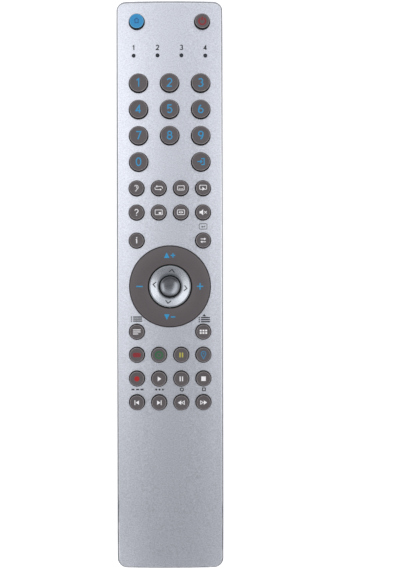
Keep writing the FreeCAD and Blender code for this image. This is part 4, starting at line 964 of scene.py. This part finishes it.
# %% Floor
floor_half = 4.0
floor_glow = 0.47
floor_gap = 0.05 * mm
floor_cloud = 60 * mm
floor_mesh = bpy.data.meshes.new("light_table")
corners = np.array([(-1, -1), (1, -1), (1, 1), (-1, 1)]) * floor_half
floor_mesh.from_pydata([(x, y, -floor_gap) for x, y in corners], [], [(0, 1, 2, 3)])
floor = bpy.data.objects.new("light_table", floor_mesh)
bpy.context.scene.collection.objects.link(floor)
material, tree, place = new_material("white_diffusing_acrylic")
cloud = add_node(tree, "TexNoise", {"Vector": place, "Scale": 1 / floor_cloud})
white = add_node(tree, "ValToRGB", {"Fac": cloud}, stops=((0.3, "#f2f2f2"), (0.7, "#f6f6f6")))
add_node(tree, "OutputMaterial", {"Surface": add_node(tree, "BsdfPrincipled", {
    "Base Color": white, "Roughness": 0.8, "Emission Color": "#ffffff", "Emission Strength": floor_glow,
})})
floor_mesh.materials.append(material)
print("floor", 2 * floor_half, "m wide")

# %% [markdown]
# ## Light
#
# The slightly crowned silver face mirrors what is over it. In the photograph it is brightest at its
# left, a little less bright at its right, and falls off from the head to the tail. A picture of a
# studio could light it, but then no light could be moved alone. So a large soft light stands on
# either side, a small one on either side of the tail, and the ceiling is bright over the head and
# dim over the tail. The studio's walls are an even pale grey, so that the handset also looks right
# from low at its side.

# %% Soft lights
def soft_light(name, place, size, power):
    """A rectangular area light that looks at the handset."""
    lamp = bpy.data.objects.new(name, bpy.data.lights.new(name, "AREA"))
    lamp.data.shape = "RECTANGLE"
    lamp.data.size, lamp.data.size_y = size
    lamp.data.energy = power
    lamp.location = place
    lamp.rotation_euler = (-Vector(place)).to_track_quat("-Z", "Y").to_euler()
    bpy.context.scene.collection.objects.link(lamp)


soft_light("left_softbox", (-0.62, 0.18, 0.85), (0.7, 1.1), 3.06)
soft_light("right_softbox", (0.75, 0.1, 0.85), (0.6, 1.0), 3.4)
soft_light("left_tail_softbox", (-0.55, -0.6, 0.8), (0.4, 0.5), 1.14)
soft_light("right_tail_softbox", (0.6, -0.6, 0.8), (0.4, 0.5), 0.84)
print("a soft light on either side, and a small one on either side of the tail")

# %% Sky
sky_strength = 1.1
wall_colour = "#c9cacd"
world = bpy.data.worlds.new("studio_sky")
bpy.context.scene.world = world
world.use_nodes = True
sky = world.node_tree
sky.nodes.clear()
direction = add_node(sky, "TexCoord", output="Generated")
headward = add_node(sky, "SeparateXYZ", {0: direction}, output="Y")
upward = add_node(sky, "SeparateXYZ", {0: direction}, output="Z")
along = add_node(sky, "MapRange", {"Value": headward, "From Min": -0.5, "From Max": 0.5})
ceiling = add_node(sky, "ValToRGB", {"Fac": along}, stops=(
    (0.0, "#b4b4b7"), (0.1, "#939496"), (0.2, "#88898a"), (0.3, "#a2a2a4"),
    (0.45, "#8a8b8c"), (0.6, "#9d9ea0"), (0.75, "#dbdbde"), (0.9, "#fbfcff"),
))
height = add_node(sky, "MapRange", {"Value": upward, "From Min": 0.4, "From Max": 0.75},
                  interpolation_type="SMOOTHSTEP")
studio = add_node(sky, "Mix", {0: height, 6: wall_colour, 7: ceiling}, **colour_mix)
glow = add_node(sky, "Background", {"Color": studio, "Strength": sky_strength})
add_node(sky, "OutputWorld", {"Surface": glow})
bpy.context.scene.view_settings.view_transform = "Standard"
print("pale walls and a ceiling that is dimmer towards the tail")

# %% [markdown]
# ## Camera
#
# The photograph looks straight down on the keys. Its frame is 570 pixels tall and the handset fills
# it from end to end, standing left of the middle. The walls of the end keys show on the side
# towards the middle, which tells how near the camera was: 0.36 m above the face. The camera could
# be aimed a little to the right to put the handset left of the middle, but its sides would then run
# together. A lens shift moves it without turning it.

# %% Camera
camera_height = 0.36
sensor_width = 36.0
# the photographed handset stands this many degrees askew
camera_turn = -0.13
# in pixels of the photograph: its height, its middle across, the handset's middle across and how
# far the handset stands above the middle
frame_height = 570
frame_middle = 200
handset_middle = 170.0
handset_lift = 0.64
pixel = 0.4211 * mm
camera = bpy.data.objects.new("photo_camera", bpy.data.cameras.new("photo_camera"))
camera.data.sensor_width = sensor_width
camera.data.lens = sensor_width * camera_height / (frame_height * pixel)
camera.data.shift_x = (frame_middle - handset_middle) / frame_height
camera.data.shift_y = -handset_lift / frame_height
camera.data.clip_start = 0.01
camera.location = (0, 0, camera_height + face_top * mm)
camera.rotation_euler = (0, 0, np.radians(camera_turn))
bpy.context.scene.collection.objects.link(camera)
bpy.context.scene.camera = camera
print("lens", round(camera.data.lens, 1), "mm")

# %% [markdown]
# ## The end

# The dressed handset has to stay inside the box of the CAD model.

# %% The end
print("the handset is dressed and lit")
